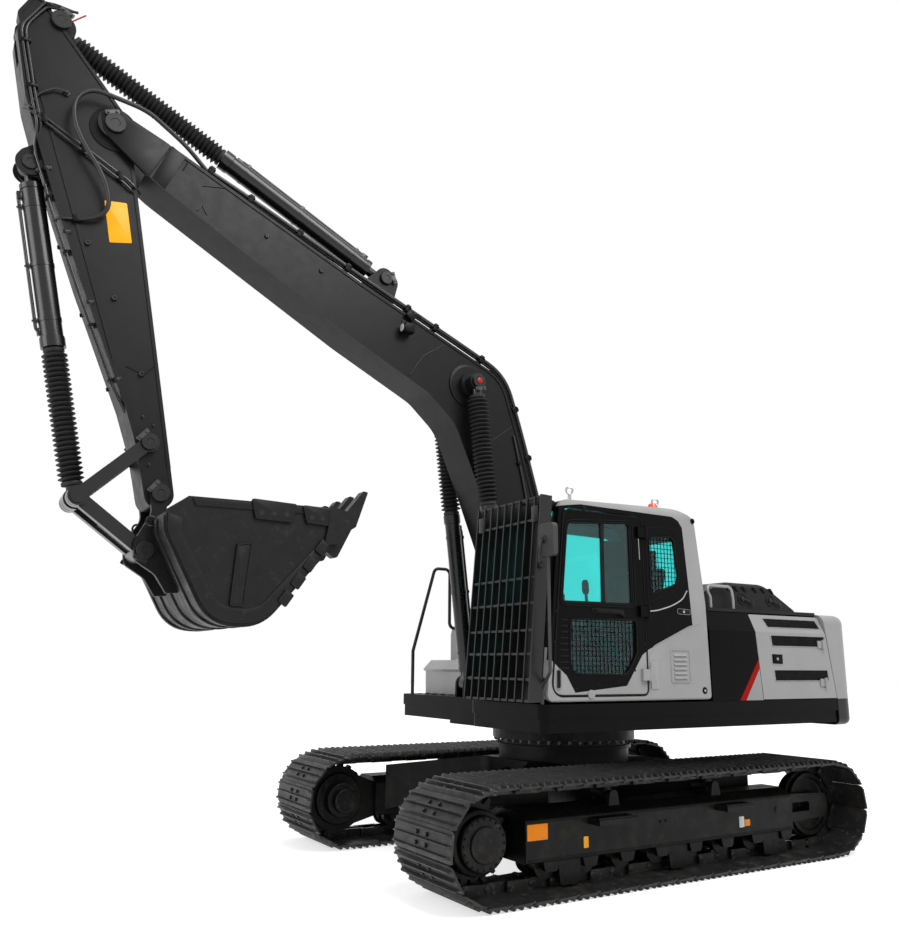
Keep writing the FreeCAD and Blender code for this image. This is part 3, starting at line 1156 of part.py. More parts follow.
def between(start, end):
    """The distance and the direction from one point of the boom's plane to another."""
    away = (end[0] - start[0], end[1] - start[1])
    return math.hypot(*away), math.degrees(math.atan2(away[1], away[0]))


def solve_linkage():
    """Every pin of the attachment at rest, from the lengths and the three resting angles."""
    foot = (size["boom_foot_x"], number(BOOM_FOOT_Z))
    pins = {"boom_foot": foot, "lift_foot": (size["lift_foot_x"], number(LIFT_FOOT_Z))}
    pins["lift_rod"] = polar(foot, size["boom_angle"], size["boom_rod_u"], size["boom_rod_v"])
    pins["arm_base"] = polar(foot, size["boom_angle"], size["arm_base_u"], size["arm_base_v"])
    pins["arm"] = polar(foot, size["boom_angle"], size["boom_length"])
    pins["arm_rod"] = polar(pins["arm"], size["arm_angle"], size["arm_rod_s"], size["arm_rod_t"])
    pins["tip_base"] = polar(pins["arm"], size["arm_angle"], size["tip_base_s"], size["tip_base_t"])
    pins["guide"] = polar(pins["arm"], size["arm_angle"], size["guide_s"], size["guide_t"])
    pins["bucket"] = polar(pins["arm"], size["arm_angle"], size["arm_length"])
    pins["link"] = polar(pins["bucket"], size["bucket_angle"], size["bucket_link_p"], size["bucket_link_q"])
    reach, heading = between(pins["guide"], pins["link"])
    guide, link = size["guide_length"], size["link_length"]
    bend = math.degrees(math.acos((guide**2 + reach**2 - link**2) / (2 * guide * reach)))
    pins["knee"] = polar(pins["guide"], heading + bend, guide)
    return pins


def arm(pins):
    """The arm: a tapering box girder with its slotted horn, cylinder ears and tip boss."""
    side = [
        ("-1069", "451", "60"), ("-80", "-118", "220"), ("arm_length + 108", "-108", "107"),
        ("arm_length + 108", "108", "107"), ("arm_length - 350", "122", "400"), ("-856", "615", "70"),
    ]
    box = girder("arm", side, "arm_wide")
    horn = plate("arm_horn_slot", [("-1126", "616"), ("-491", "256"), ("-657", "-36"), ("-1292", "324")],
                 "170")
    deep = plate("arm_deep_slot", [
        ("-640", "-20"), ("-600", "330"), ("-720", "800"), ("-1350", "800"), ("-1350", "250"), ("-900", "60"),
    ], "2*eye_half + 14")
    boss = rod("arm_boss", "150", "arm_wide", ("0", "0", "0"))
    bore = rod("arm_bore", "pin_r + pin_fit", f"2*{TIP_IN}", ("0", "0", "0"))
    inner_ears = [
        rod(f"arm_horn_ear_{k}", "120", "36",
            ("arm_rod_s", f"{k}*(eye_half + 7 + 18)", "arm_rod_t")) for k in (-1, 1)
    ]
    caps = [
        rod(f"arm_horn_cap_{k}", "75", "20", ("arm_rod_s", f"{k}*(arm_wide/2 - flange_proud + 10)",
                                              "arm_rod_t"))
        for k in (-1, 1)
    ]
    ears = [
        plate(f"arm_ear_{k}", [
            ("tip_base_s - 260", "tip_base_t - 250"), ("tip_base_s + 170", "tip_base_t - 250"),
            ("tip_base_s + 85", "tip_base_t + 80", "80"), ("tip_base_s - 90", "tip_base_t + 80", "80"),
        ], "lug", "XZ", f"{k}*{LUG_MID}")
        for k in (-1, 1)
    ]
    base_pin = rod("arm_tip_base_pin", "small_pin_r", f"2*{LUG_OUT} + 2*pin_cap",
                   ("tip_base_s", "0", "tip_base_t"))
    guide_pin = rod("arm_guide_pin", "small_pin_r", "2*(arm_wide/2 + side_play + guide_thick + pin_cap)",
                    ("guide_s", "0", "guide_t"))
    bucket_pin = rod("arm_bucket_pin", "small_pin_r", f"2*{PIN_OUT}", ("arm_length", "0", "0"))
    tip_sides = [
        block(f"arm_tip_side_{k > 0}", ("arm_length - 190", "ear_in - side_play" if k > 0 else "-arm_wide",
                                        "-300"),
              ("arm_length + 300", "arm_wide" if k > 0 else "side_play - ear_in", "300"))
        for k in (-1, 1)
    ]
    body = cut("arm_body", fuse("arm_solid", box, boss, *caps), bore, horn, deep, *tip_sides)
    horn_ears = cut("arm_horn_ears", fuse("arm_ear_pair", *inner_ears), plate("arm_ear_room", [
        ("-1400", "900"), ("-1400", "-300"), ("0", "-300"), ("0", "900"),
    ], "2*eye_half + 14"))
    x, z = pins["arm"]
    node("arm", fuse("arm_whole", body, horn_ears, *ears, base_pin, guide_pin, bucket_pin), x, z,
         size["arm_angle"])


def bucket(pins):
    """The bucket: a rolled shell open towards the machine, side plates, ears, cutters, teeth and lip."""
    side = [
        ("104", "76"), ("1274", "141", "30"), ("1292", "215", "40"), ("1224", "408"), ("620", "1020", "330"),
        ("240", "985", "330"), ("-60", "330", "150"), ("-60", "192", "60"),
    ]
    outer = plate("bucket_outer", side, "bucket_wide")
    inside = [
        ("130", "-200"), ("1450", "-200"), ("1450", "330"), ("1214", "363"), ("608", "984", "305"),
        ("256", "957", "305"),
        ("-33", "330", "125"), ("-33", "210", "40"), ("134", "105"),
    ]
    hollow = plate("bucket_hollow", inside, "bucket_wide - 2*bucket_wall")
    ears, cutters = [], []
    for k in (-1, 1):
        ears.append(plate(f"bucket_ear_{k > 0}", [
            ("85", "-85", "70"), ("-85", "-85", "70"), ("-62", "150", "120"),
            ("bucket_link_p - 78", "bucket_link_q - 70", "70"),
            ("bucket_link_p - 78", "bucket_link_q + 70", "70"),
            ("-40", "600", "120"), ("40", "740"), ("200", "740"), ("60", "330"), ("35", "160", "150"),
        ], "ear", "XZ", f"{k}*(ear_in + ear/2)"))
        cutters.append(plate(f"bucket_cutter_{k > 0}", [
            ("1180", "120", "20"), ("1330", "170", "30"), ("1345", "260", "40"), ("1265", "420", "40"),
            ("1120", "430", "40"),
            ("1160", "300"),
        ], "30", "XZ", f"{k}*(bucket_wide/2 + 14)"))
    bores = rod("bucket_pin_bore", "small_pin_r + pin_fit", "2*(ear_in + ear) + 4", ("0", "0", "0"))
    link_pin = rod("bucket_link_pin", "small_pin_r", f"2*{PIN_OUT}", ("bucket_link_p", "0", "bucket_link_q"))
    link_room = block("bucket_link_room", ("-500", "-ear_in", "-300"), ("38", "ear_in", "300"))
    teeth = []
    for i in range(int(size["teeth"])):
        y = f"(bucket_wide - 150)*({i}/(teeth - 1) - 1/2)"
        teeth.append(plate(f"bucket_adapter_{i}", [
            ("1120", "440"), ("1245", "535", "30"), ("1385", "300"), ("1425", "215"), ("1350", "165"),
            ("1250", "300"),
        ], "tooth_wide - 20", "XZ", y))
        teeth.append(plate(f"bucket_tooth_{i}", [
            ("1330", "330"), ("1420", "280", "20"), ("1538", "0", "6"), ("1500", "-10", "6"),
            ("1330", "180", "20"),
        ], "tooth_wide", "XZ", y))
    solid = cut("bucket_shell", outer, hollow, link_room)
    whole = fuse("bucket_whole", solid, *ears, link_pin, *cutters, *teeth)
    x, z = pins["bucket"]
    node("bucket", cut("bucket_done", whole, bores), x, z, size["bucket_angle"])


def cylinder(label, start, end, barrel, lengths, y, end_pin):
    """A barrel with its foot eye, a rod with its end eye and the bellows between, along +X from the
    foot pin; off the middle there is a second one on the other side. "lengths" are where the tube
    starts, where the gland ends, how far the rod reaches in, and the bellows' gap at the rod's eye."""
    length, angle = between(start, end)
    tube_from, reach, tail, rest = lengths
    foot = rod(f"{label}_foot", "eye_r", "2*eye_half", ("0", y, "0"))
    neck = rod(f"{label}_neck", "eye_half - 1", f"{tube_from} + 20", (f"({tube_from} + 20)/2", y, "0"), "x")
    casing = rod(f"{label}_tube", barrel, f"{reach} - {tube_from}", (f"({reach} + {tube_from})/2", y, "0"),
                 "x")
    gland = rod(f"{label}_gland", f"{barrel} + 8", "70", (f"{reach} - 5", y, "0"), "x")
    base = rod(f"{label}_base", f"{barrel} + 6", "40", (f"{tube_from} + 20", y, "0"), "x")
    bore = rod(f"{label}_foot_bore", f"{end_pin} + pin_fit", "3*eye_half", ("0", y, "0"))
    rod_room = rod(f"{label}_rod_room", "rod_r + 1", f"{reach} - 140", (f"({reach} + 260)/2", y, "0"), "x")
    casing = cut(f"{label}_casing", fuse(f"{label}_casing_solid", foot, neck, casing, gland, base), bore,
                 rod_room)
    shaft = rod(f"{label}_shaft", "rod_r", f"{length} - {reach} + {tail}",
                (f"({length} + {reach} - {tail})/2", y, "0"), "x")
    stem = [shaft, rod(f"{label}_eye", "eye_r", "2*eye_half", (str(length), y, "0"))]
    pair = number(y) > 0
    if pair:
        stem.append(rod(f"{label}_eye_cap", "58", "22", (str(length), f"{y} + eye_half + 1", "0")))
    stem = fuse(f"{label}_stem", *stem)
    start_x, end_x = f"({reach} + 36)", f"({length} - {rest})"
    skin = rod(f"{label}_skin", "bellows_r", f"{end_x} - {start_x}", (f"({start_x} + {end_x})/2", y, "0"),
               "x")
    core = rod(f"{label}_core", "rod_r + 3", f"{length}", (f"{length}", y, "0"), "x")
    sleeve = cut(f"{label}_sleeve", skin, core)
    many = "s" if pair else ""
    for name, thing in ((f"{label}_barrel{many}", casing), (f"{label}_rod{many}", stem),
                        (f"{label}_bellows", sleeve)):
        if pair:
            thing = group(f"{name}_pair", thing, mirrored(f"{name}_right", thing))
        node(name, thing, start[0], start[1], angle)


def bar(name, length, thick, at):
    """A link's bar between two round bosses, the first on the origin."""
    strip = plate(f"{name}_strip", [("0", "-link_bar/2"), (length, "-link_bar/2"), (length, "link_bar/2"),
                                    ("0", "link_bar/2")],
                  thick, "XZ", at)
    ends = [rod(f"{name}_end_{i}", "link_boss_r", thick, (x, at, "0")) for i, x in enumerate(("0", length))]
    return fuse(name, strip, *ends)


def links(pins):
    """The two guide links on the arm and the link that turns the bucket."""
    length, angle = between(pins["guide"], pins["knee"])
    guides = []
    for k in (-1, 1):
        strap = bar(f"guide_strap_{k > 0}", "guide_length", "guide_thick", f"{k}*{GUIDE_Y}")
        hole = rod(f"guide_hole_{k > 0}", "small_pin_r + pin_fit", "2*guide_thick",
                   ("0", f"{k}*{GUIDE_Y}", "0"))
        cap = rod(f"guide_cap_{k > 0}", "56", "pin_cap + 10",
                  ("guide_length", f"{k}*({GUIDE_Y} + guide_thick/2 + pin_cap/2 - 5)", "0"))
        guides.append(fuse(f"guide_link_{k > 0}", cut(f"guide_body_{k > 0}", strap, hole), cap))
    node("guide_links", group("guide_pair", *guides), *pins["guide"], angle)
    length, angle = between(pins["link"], pins["knee"])
    low = rod("link_low_boss", "link_boss_r", "2*(ear_in - side_play)", ("0", "0", "0"))
    low_bore = rod("link_low_bore", "small_pin_r + pin_fit", "2*ear_in", ("0", "0", "0"))
    cheeks = [bar(f"link_cheek_{k > 0}", "link_length", "68", f"{k}*(arm_wide/2 - 39)") for k in (-1, 1)]
    web = block("link_web", ("60", "-100", "-32"), ("link_length - 250", "100", "32"))
    node("bucket_link", cut("link_done", fuse("link_solid", low, *cheeks, web), low_bore), *pins["link"],
         angle)


def attachment():
    pins = solve_linkage()
    boom()
    arm(pins)
    bucket(pins)
    lift, crowd, curl = (115, 1560, 250, 125), (175, 1700, 110, 134), (150, 1400, 270, 100)
    cylinder("lift_cylinder", pins["lift_foot"], pins["lift_rod"], "barrel_r", lift, "lift_y", "pin_r")
    cylinder("arm_cylinder", pins["arm_base"], pins["arm_rod"], "barrel_big_r", crowd, "0", "pin_r")
    cylinder("bucket_cylinder", pins["tip_base"], pins["knee"], "barrel_big_r", curl, "0", "small_pin_r")
    links(pins)
    for name, (x, z) in pins.items():
        print(f"pin {name:10s} {x + size['slew_x']:.1f} {z:.1f}")


def build():
    undercarriage()
    house_frame()
    counterweight()
    cab()
    cab_door()
    cab_glass()
    cab_inside()
    cab_guard()
    side_bodies()
    fittings()
    attachment()


def check_and_export():
    doc.recompute()
    for thing in doc.Objects:
        if "Invalid" in thing.State or "Error" in thing.State:
            raise RuntimeError(f"{thing.Name} failed: {thing.State}")
    os.makedirs("parts", exist_ok=True)
    for thing in NODES:
        shape = thing.Shape
        if shape.isNull() or not shape.isValid() or not shape.Solids:
            raise RuntimeError(f"{thing.Label} has no valid solid")
        shape.exportStep(f"parts/{thing.Label}.step")
        box = shape.optimalBoundingBox()
        print(f"{thing.Label:26s} solids {len(shape.Solids)}  x {box.XMin:.0f}..{box.XMax:.0f}"
              f"  y {box.YMin:.0f}..{box.YMax:.0f}  z {box.ZMin:.0f}..{box.ZMax:.0f}")


build()
check_and_export()
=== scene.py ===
import math

import bmesh
import bpy
from mathutils import Euler, Matrix, Quaternion, Vector


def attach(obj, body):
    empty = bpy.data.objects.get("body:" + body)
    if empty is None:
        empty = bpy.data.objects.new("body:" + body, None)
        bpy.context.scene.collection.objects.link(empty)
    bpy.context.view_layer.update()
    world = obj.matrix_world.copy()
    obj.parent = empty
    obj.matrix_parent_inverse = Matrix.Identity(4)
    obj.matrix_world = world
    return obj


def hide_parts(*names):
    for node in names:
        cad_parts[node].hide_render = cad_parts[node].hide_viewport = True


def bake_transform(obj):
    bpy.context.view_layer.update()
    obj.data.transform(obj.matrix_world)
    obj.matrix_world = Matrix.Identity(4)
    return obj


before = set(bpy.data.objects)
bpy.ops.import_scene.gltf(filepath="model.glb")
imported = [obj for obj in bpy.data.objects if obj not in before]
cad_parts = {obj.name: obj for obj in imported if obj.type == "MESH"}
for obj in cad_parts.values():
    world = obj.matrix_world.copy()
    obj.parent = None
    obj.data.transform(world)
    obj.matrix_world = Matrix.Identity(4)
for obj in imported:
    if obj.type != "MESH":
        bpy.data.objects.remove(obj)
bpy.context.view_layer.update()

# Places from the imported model: the slew axis, the pins (x, z) and the girders' directions.
SLEW_X = -1.228
MACHINE = Matrix.Translation((SLEW_X, 0, 0))
PINS = {
    "boom_foot": (-0.948, 1.9), "lift_foot": (-0.368, 1.45), "lift_rod": (-0.0392, 4.1705),
    "arm_base": (0.791, 5.094), "arm": (3.2545, 5.7509), "arm_rod": (3.7139, 6.5213),
    "tip_base": (3.8047, 5.3014), "guide": (2.7916, 3.2379), "bucket": (2.6815, 2.857),
    "link": (2.762, 2.4272), "knee": (3.2518, 2.7874),
}


def placed(pin, angle):
    """The frame of a girder: its origin at a pin, its x along the girder, its z across it."""
    x, z = PINS[pin]
    return Matrix.Translation((x, 0, z)) @ Matrix.Rotation(-math.radians(angle), 4, "Y")


BOOM = placed("boom_foot", 42.5)
ARM = placed("arm", 258.8)
BUCKET = placed("bucket", 175.9)


def axle(foot, head, y=0.0):
    """A frame whose x runs from one pin to another, at a distance y from the middle."""
    (x0, z0), (x1, z1) = PINS[foot], PINS[head]
    turn = Matrix.Rotation(-math.atan2(z1 - z0, x1 - x0), 4, "Y")
    return Matrix.Translation((x0, y, z0)) @ turn


def reach(foot, head):
    """The distance between two pins."""
    (x0, z0), (x1, z1) = PINS[foot], PINS[head]
    return math.hypot(x1 - x0, z1 - z0)


# Materials

def linear(level):
    """A linear colour from an sRGB level of 0 to 255, or from three of them."""
    levels = level if isinstance(level, tuple) else (level, level, level)
    return tuple((v / 255 / 12.92) if v < 10.3 else ((v / 255 + 0.055) / 1.055) ** 2.4 for v in levels)


class Shader:
    """A Principled material built node by node on Object coordinates."""

    def __init__(self, name):
        self.material = bpy.data.materials.new(name)
        self.material.use_nodes = True
        self.tree = self.material.node_tree
        self.bsdf = self.tree.nodes["Principled BSDF"]
        self.place = self.new("ShaderNodeTexCoord").outputs["Object"]
        self.x, self.y, self.z = self.split(self.place)

    def new(self, kind, **values):
        made = self.tree.nodes.new(kind)
        for key, value in values.items():
            setattr(made, key, value)
        return made

    def link(self, value, socket):
        if isinstance(value, bpy.types.NodeSocket):
            self.tree.links.new(value, socket)
        else:
            socket.default_value = value

    def split(self, vector):
        parts = self.new("ShaderNodeSeparateXYZ")
        self.link(vector, parts.inputs[0])
        return parts.outputs[0], parts.outputs[1], parts.outputs[2]

    def math(self, kind, a, b=0.0):
        made = self.new("ShaderNodeMath", operation=kind)
        self.link(a, made.inputs[0])
        self.link(b, made.inputs[1])
        return made.outputs[0]

    def over(self, a, b):
        return self.math("GREATER_THAN", a, b)

    def both(self, *masks):
        total = masks[0]
        for mask in masks[1:]:
            total = self.math("MULTIPLY", total, mask)
        return total

    def span(self, value, low, high, to_low=0.0, to_high=1.0):
        made = self.new("ShaderNodeMapRange", clamp=True)
        self.link(value, made.inputs["Value"])
        for key, number in (("From Min", low), ("From Max", high), ("To Min", to_low), ("To Max", to_high)):
            made.inputs[key].default_value = number
        return made.outputs[0]

    def line(self, value, points):
        """A polyline's height where a value stands along it."""
        total = None
        for (x0, z0), (x1, z1) in zip(points, points[1:]):
            step = self.span(value, x0, x1, 0, z1 - z0)
            total = step if total is None else self.math("ADD", total, step)
        return self.math("ADD", total, points[0][1])

    def noise(self, scale, detail=4, rough=0.55):
        made = self.new("ShaderNodeTexNoise")
        made.inputs["Scale"].default_value = scale
        made.inputs["Detail"].default_value = detail
        made.inputs["Roughness"].default_value = rough
        self.link(self.place, made.inputs["Vector"])
        return made.outputs["Fac"]

    def mix(self, factor, a, b):
        made = self.new("ShaderNodeMix", data_type="RGBA")
        self.link(factor, made.inputs["Factor"])
        for colour, socket in ((a, made.inputs["A"]), (b, made.inputs["B"])):
            self.link(colour if isinstance(colour, bpy.types.NodeSocket) else (*colour, 1), socket)
        return made.outputs["Result"]

    def mottle(self, colour, scale=3.0, amount=0.12):
        """A colour that drifts a little darker and lighter over the surface."""
        dark = tuple(c * (1 - amount) for c in colour)
        light = tuple(min(1, c * (1 + amount)) for c in colour)
        return self.mix(self.span(self.noise(scale), 0.35, 0.65), dark, light)

    def finish(self, colour, rough=(0.3, 0.4), metal=0.0, coat=0.0, bump=(220, 0.06), dust=0.0, specular=0.5):
        """Joins the colour, an uneven roughness, a fine bump and dust in the low places."""
        if dust:
            low = self.span(self.z, 0.0, 1.3, 1.0, 0.15)
            spots = self.span(self.noise(7, 8, 0.7), 0.48, 0.75)
            amount = self.math("MULTIPLY", self.math("MULTIPLY", low, spots), dust)
            colour = self.mix(amount, colour, linear((128, 122, 112)))
        self.link(colour, self.bsdf.inputs["Base Color"])
        self.link(self.span(self.noise(11, 5), 0.3, 0.7, *rough), self.bsdf.inputs["Roughness"])
        self.bsdf.inputs["Metallic"].default_value = metal
        self.bsdf.inputs["Coat Weight"].default_value = coat
        self.bsdf.inputs["Coat Roughness"].default_value = 0.12
        self.bsdf.inputs["Specular IOR Level"].default_value = specular
        bump_node = self.new("ShaderNodeBump")
        bump_node.inputs["Strength"].default_value = bump[1]
        bump_node.inputs["Distance"].default_value = 0.002
        self.link(self.noise(bump[0], 3), bump_node.inputs["Height"])
        self.link(bump_node.outputs[0], self.bsdf.inputs["Normal"])
        return self.material


def plain(name, level, rough, scale, amount, **more):
    """A mottled paint, rubber or metal of one sRGB level or colour."""
    made = Shader(name)
    return made.finish(made.mottle(linear(level), scale, amount), rough, **more)


def cab_paint():
    """The cab: grey panels, a black zone round the windows, dark inside."""
    s = Shader("cab_paint")
    x = s.math("SUBTRACT", s.x, SLEW_X)
    low = s.line(x, [(-0.334, 1.966), (0.165, 1.756), (0.234, 1.713), (0.414, 1.468), (0.944, 1.419), (1.025, 1.548),
        (1.172, 1.664)])
    high = s.line(x, [(-0.29, 2.8), (-0.24, 2.865), (-0.17, 2.895), (0.85, 2.905), (0.99, 2.885), (1.14, 2.86)])
    rear = s.line(s.z, [(1.9, -0.36), (2.259, -0.334), (2.9, -0.277)])
    front = s.line(s.z, [(1.4, 1.196), (1.66, 1.172), (1.7, 1.3), (2.85, 1.3)])
    side = s.both(s.over(s.y, 1.322), s.over(s.z, low), s.over(high, s.z), s.over(x, rear), s.over(front, x))
    inner = s.both(s.over(1.3235, s.y), s.over(s.y, 0.452), s.over(2.936, s.z), s.over(x, -0.4965))
    grey = s.mottle(linear(152), 2.0, 0.07)
    black = s.mottle(linear(6), 2.0, 0.2)
    inside = s.mottle(linear(24), 9.0, 0.12)
    nose = s.both(s.over(x, s.line(s.z, [(1.35, 1.197), (2.93, 1.047)])), s.over(1.76, s.z))
    colour = s.mix(side, grey, black)
    colour = s.mix(inner, colour, inside)
    colour = s.mix(s.both(nose, inner), colour, grey)
    return s.finish(colour, (0.3, 0.42), bump=(260, 0.05), dust=0.03, specular=0.07)


def house_paint():
    """The black and grey side panel with its slanted red band."""
    s = Shader("house_band_paint")
    x = s.math("SUBTRACT", s.x, SLEW_X)
    front = s.line(s.z, [(1.3, -0.858), (1.36, -0.904), (1.735, -1.19), (2.2, -1.5)])
    back = s.line(s.z, [(1.3, -0.937), (1.36, -0.981), (1.68, -1.213), (2.2, -1.6)])
    colour = s.mix(s.over(x, front), linear((150, 14, 12)), s.mottle(linear(4), 2.0, 0.2))
    colour = s.mix(s.over(back, x), colour, s.mottle(linear(148), 2.0, 0.06))
    return s.finish(colour, (0.28, 0.38), bump=(260, 0.05), specular=0.06)


def weight_paint():
    """The counterweight: cast and filled, grey, with a dark band along its foot."""
    s = Shader("counterweight_paint")
    colour = s.mix(s.over(1.337, s.z), s.mottle(linear(148), 1.6, 0.07), s.mottle(linear(13), 1.6, 0.15))
    return s.finish(colour, (0.32, 0.44), bump=(34, 0.1), dust=0.06, specular=0.3)


def worn_steel(name, level, bright, metal, rough, dust, specular):
    """Dark steel with brighter rubbed patches and dust."""
    s = Shader(name)
    rubbed = s.span(s.noise(16, 8, 0.7), 0.56, 0.72)
    colour = s.mix(s.math("MULTIPLY", rubbed, 0.35), s.mottle(linear(level), 6, 0.2), linear(bright))
    return s.finish(colour, rough, metal=metal, bump=(90, 0.16), dust=dust, specular=specular)


def glass(name, tint):
    """Tinted safety glass: its colour sits on the shader's own socket."""
    s = Shader(name)
    s.bsdf.inputs["Base Color"].default_value = (*tint, 1)
    s.bsdf.inputs["Transmission Weight"].default_value = 1.0
    s.bsdf.inputs["IOR"].default_value = 1.45
    rough = s.span(s.noise(5, 3), 0.3, 0.7, 0.0, 0.012)
    s.link(rough, s.bsdf.inputs["Roughness"])
    return s.material


LOOK = {
    "boom": plain("boom_black", 22, (0.3, 0.42), 1.4, 0.12, bump=(240, 0.05), dust=0.04, specular=0.16),
    "arm": plain("arm_black", 22, (0.32, 0.44), 1.4, 0.12, bump=(240, 0.05), dust=0.04, specular=0.18),
    "bucket": worn_steel("bucket_steel", 11, 60, 0.0, (0.34, 0.55), 0.0, 0.25),
    "skirt": plain("skirt_black", 5, (0.3, 0.42), 1.5, 0.12, bump=(220, 0.06), dust=0.03, specular=0.07),
    "grey": plain("panel_grey", 144, (0.28, 0.4), 1.5, 0.06, coat=0.15, bump=(260, 0.05), dust=0.05),
    "pale": plain("toolbox_grey", 178, (0.3, 0.42), 1.5, 0.06, coat=0.1, bump=(220, 0.05), dust=0.05),
    "dark": plain("machinery_dark", 20, (0.42, 0.56), 5.0, 0.18, bump=(160, 0.1), specular=0.25),
    "hood": plain("hood_black", 26, (0.4, 0.55), 2.0, 0.12, bump=(180, 0.1), dust=0.05, specular=0.15),
    "frame": plain("frame_black", 12, (0.36, 0.5), 2.5, 0.16, bump=(120, 0.1), dust=0.1, specular=0.14),
    "track": worn_steel("track_steel", 36, 130, 0.2, (0.34, 0.52), 0.16, 0.35),
    "chain": worn_steel("chain_steel", 30, 140, 0.35, (0.32, 0.5), 0.14, 0.35),
    "roller": worn_steel("roller_steel", 18, 95, 0.3, (0.36, 0.52), 0.14, 0.2),
    "barrel": plain("barrel_black", 18, (0.22, 0.34), 2.0, 0.12, coat=0.25, bump=(240, 0.04), specular=0.3),
    "pin": plain("pin_steel", 40, (0.3, 0.44), 20.0, 0.14, metal=0.4, bump=(160, 0.08), specular=0.3),
    "bolt": plain("bolt_steel", 70, (0.32, 0.44), 40.0, 0.15, metal=0.6, bump=(160, 0.06)),
    "rubber": plain("bellows_rubber", 30, (0.5, 0.66), 8.0, 0.18, bump=(320, 0.14), specular=0.3),
    "hose": plain("hose_rubber", 24, (0.36, 0.5), 14.0, 0.16, bump=(420, 0.12), specular=0.4),
    "pipe": plain("pipe_black", 24, (0.24, 0.36), 6.0, 0.14, coat=0.2, bump=(240, 0.04), specular=0.4),
    "trim": plain("trim_black", 14, (0.32, 0.46), 9.0, 0.16, bump=(260, 0.06), specular=0.12),
    "guard": plain("guard_black", 22, (0.3, 0.42), 9.0, 0.16, coat=0.1, bump=(260, 0.06), specular=0.3),
    "mesh": plain("wire_black", 5, (0.4, 0.52), 30.0, 0.18, bump=(260, 0.05), specular=0.06),
    "seat": plain("seat_cloth", 30, (0.75, 0.92), 60.0, 0.25, bump=(900, 0.35), specular=0.15),
    "plastic": plain("cab_plastic", 18, (0.45, 0.6), 30.0, 0.14, bump=(700, 0.16), specular=0.12),
    "mirror": plain("mirror_grey", 58, (0.36, 0.48), 4.0, 0.08, bump=(500, 0.08), specular=0.3),
    "rail": plain("handrail_grey", 140, (0.28, 0.4), 4.0, 0.1, metal=0.1, coat=0.2, bump=(240, 0.05)),
    "yellow": plain("plate_yellow", (249, 175, 6), (0.35, 0.45), 6.0, 0.05, bump=(200, 0.04), specular=0.25),
    "orange": plain("plate_orange", (232, 132, 0), (0.35, 0.45), 6.0, 0.05, bump=(200, 0.04), specular=0.25),
    "white": plain("plate_white", 215, (0.35, 0.45), 6.0, 0.04, bump=(200, 0.04), specular=0.25),
    "red": plain("red_paint", (165, 14, 10), (0.3, 0.42), 6.0, 0.08, coat=0.1, bump=(240, 0.04), specular=0.3),
    "silver": plain("bright_trim", 175, (0.16, 0.26), 30.0, 0.06, metal=0.9, bump=(300, 0.03)),
    # near-black fill for slots and recesses in solid panels: painted shade of the openings
    "slot_shade": plain("slot_shade_black", 6, (0.45, 0.6), 20.0, 0.25, bump=(160, 0.1), specular=0.08),
    "cab": cab_paint(),
    "band": house_paint(),
    "weight": weight_paint(),
    "glass": glass("cab_glass_tint", (0.16, 0.83, 0.81)),
    "beacon": plain("beacon_orange", (232, 70, 30), (0.15, 0.25), 20.0, 0.1, coat=0.6, bump=(200, 0.04)),
    "lens": plain("lamp_lens", 190, (0.06, 0.12), 60.0, 0.12, coat=0.8, bump=(500, 0.25)),
}

NODES_OF = {
    "cab": "cab_shell cab_door",
    "glass": "door_glass cab_glass",
    "seat": "operator_seat",
    "plastic": "control_consoles",
    "dark": "travel_pedals",
    "guard": "front_guard right_handrail",
    "band": "left_side_panel",
    "grey": "left_rear_door right_pump_door fuel_tank",
    "weight": "counterweight",
    "hood": "engine_hood centre_cover hydraulic_tank",
    "pale": "toolbox toolbox_lid",
    "rail": "hood_handrail",
    "mirror": "cab_mirror",
    "boom": "boom",
    "arm": "arm",
    "bucket": "bucket",
    "skirt": "house_frame",
    "frame": "carbody",
    "barrel": "guide_links bucket_link",
    "roller": "slewing_ring_inner slewing_ring_outer",
}
NODE_LOOK = {node: look for look, nodes in NODES_OF.items() for node in nodes.split()}
for name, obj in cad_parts.items():
    if name in NODE_LOOK:
        look = NODE_LOOK[name]
    elif name.endswith(("_barrel", "_barrels", "_rod", "_rods")):
        look = "barrel"
    elif "bellows" in name:
        look = "rubber"
    elif name.endswith(("_idler", "_rollers", "_final_drive")):
        look = "roller"
    elif name.endswith("_track_frame"):
        look = "frame"
    elif name.endswith("_track"):
        look = "track"
    else:
        look = "dark"
    obj.data.materials.clear()
    obj.data.materials.append(LOOK[look])


# Building

SIDES = ((1, "left"), (-1, "right"))
CREASE = math.radians(40)


def arc(a, corner, b, steps):
    """The points of a smooth bend from a to b, drawn towards a corner."""
    return [a * (1 - t) ** 2 + corner * 2 * t * (1 - t) + b * t ** 2 for t in (k / steps for k in range(steps + 1))]


def fillet(corners, steps=4):
    """Rounds a polygon's corners: each corner is (u, v) or (u, v, radius)."""
    points, count = [], len(corners)
    for i, corner in enumerate(corners):
        here = Vector(corner[:2])
        radius = corner[2] if len(corner) > 2 else 0.0
        back = Vector(corners[i - 1][:2]) - here
        ahead = Vector(corners[(i + 1) % count][:2]) - here
        if radius <= 0:
            points.append(here)
            continue
        half = back.angle(ahead) / 2
        run = min(radius / math.tan(half), back.length * 0.49, ahead.length * 0.49)
        points += arc(here + back.normalized() * run, here, here + ahead.normalized() * run, steps)
    return points


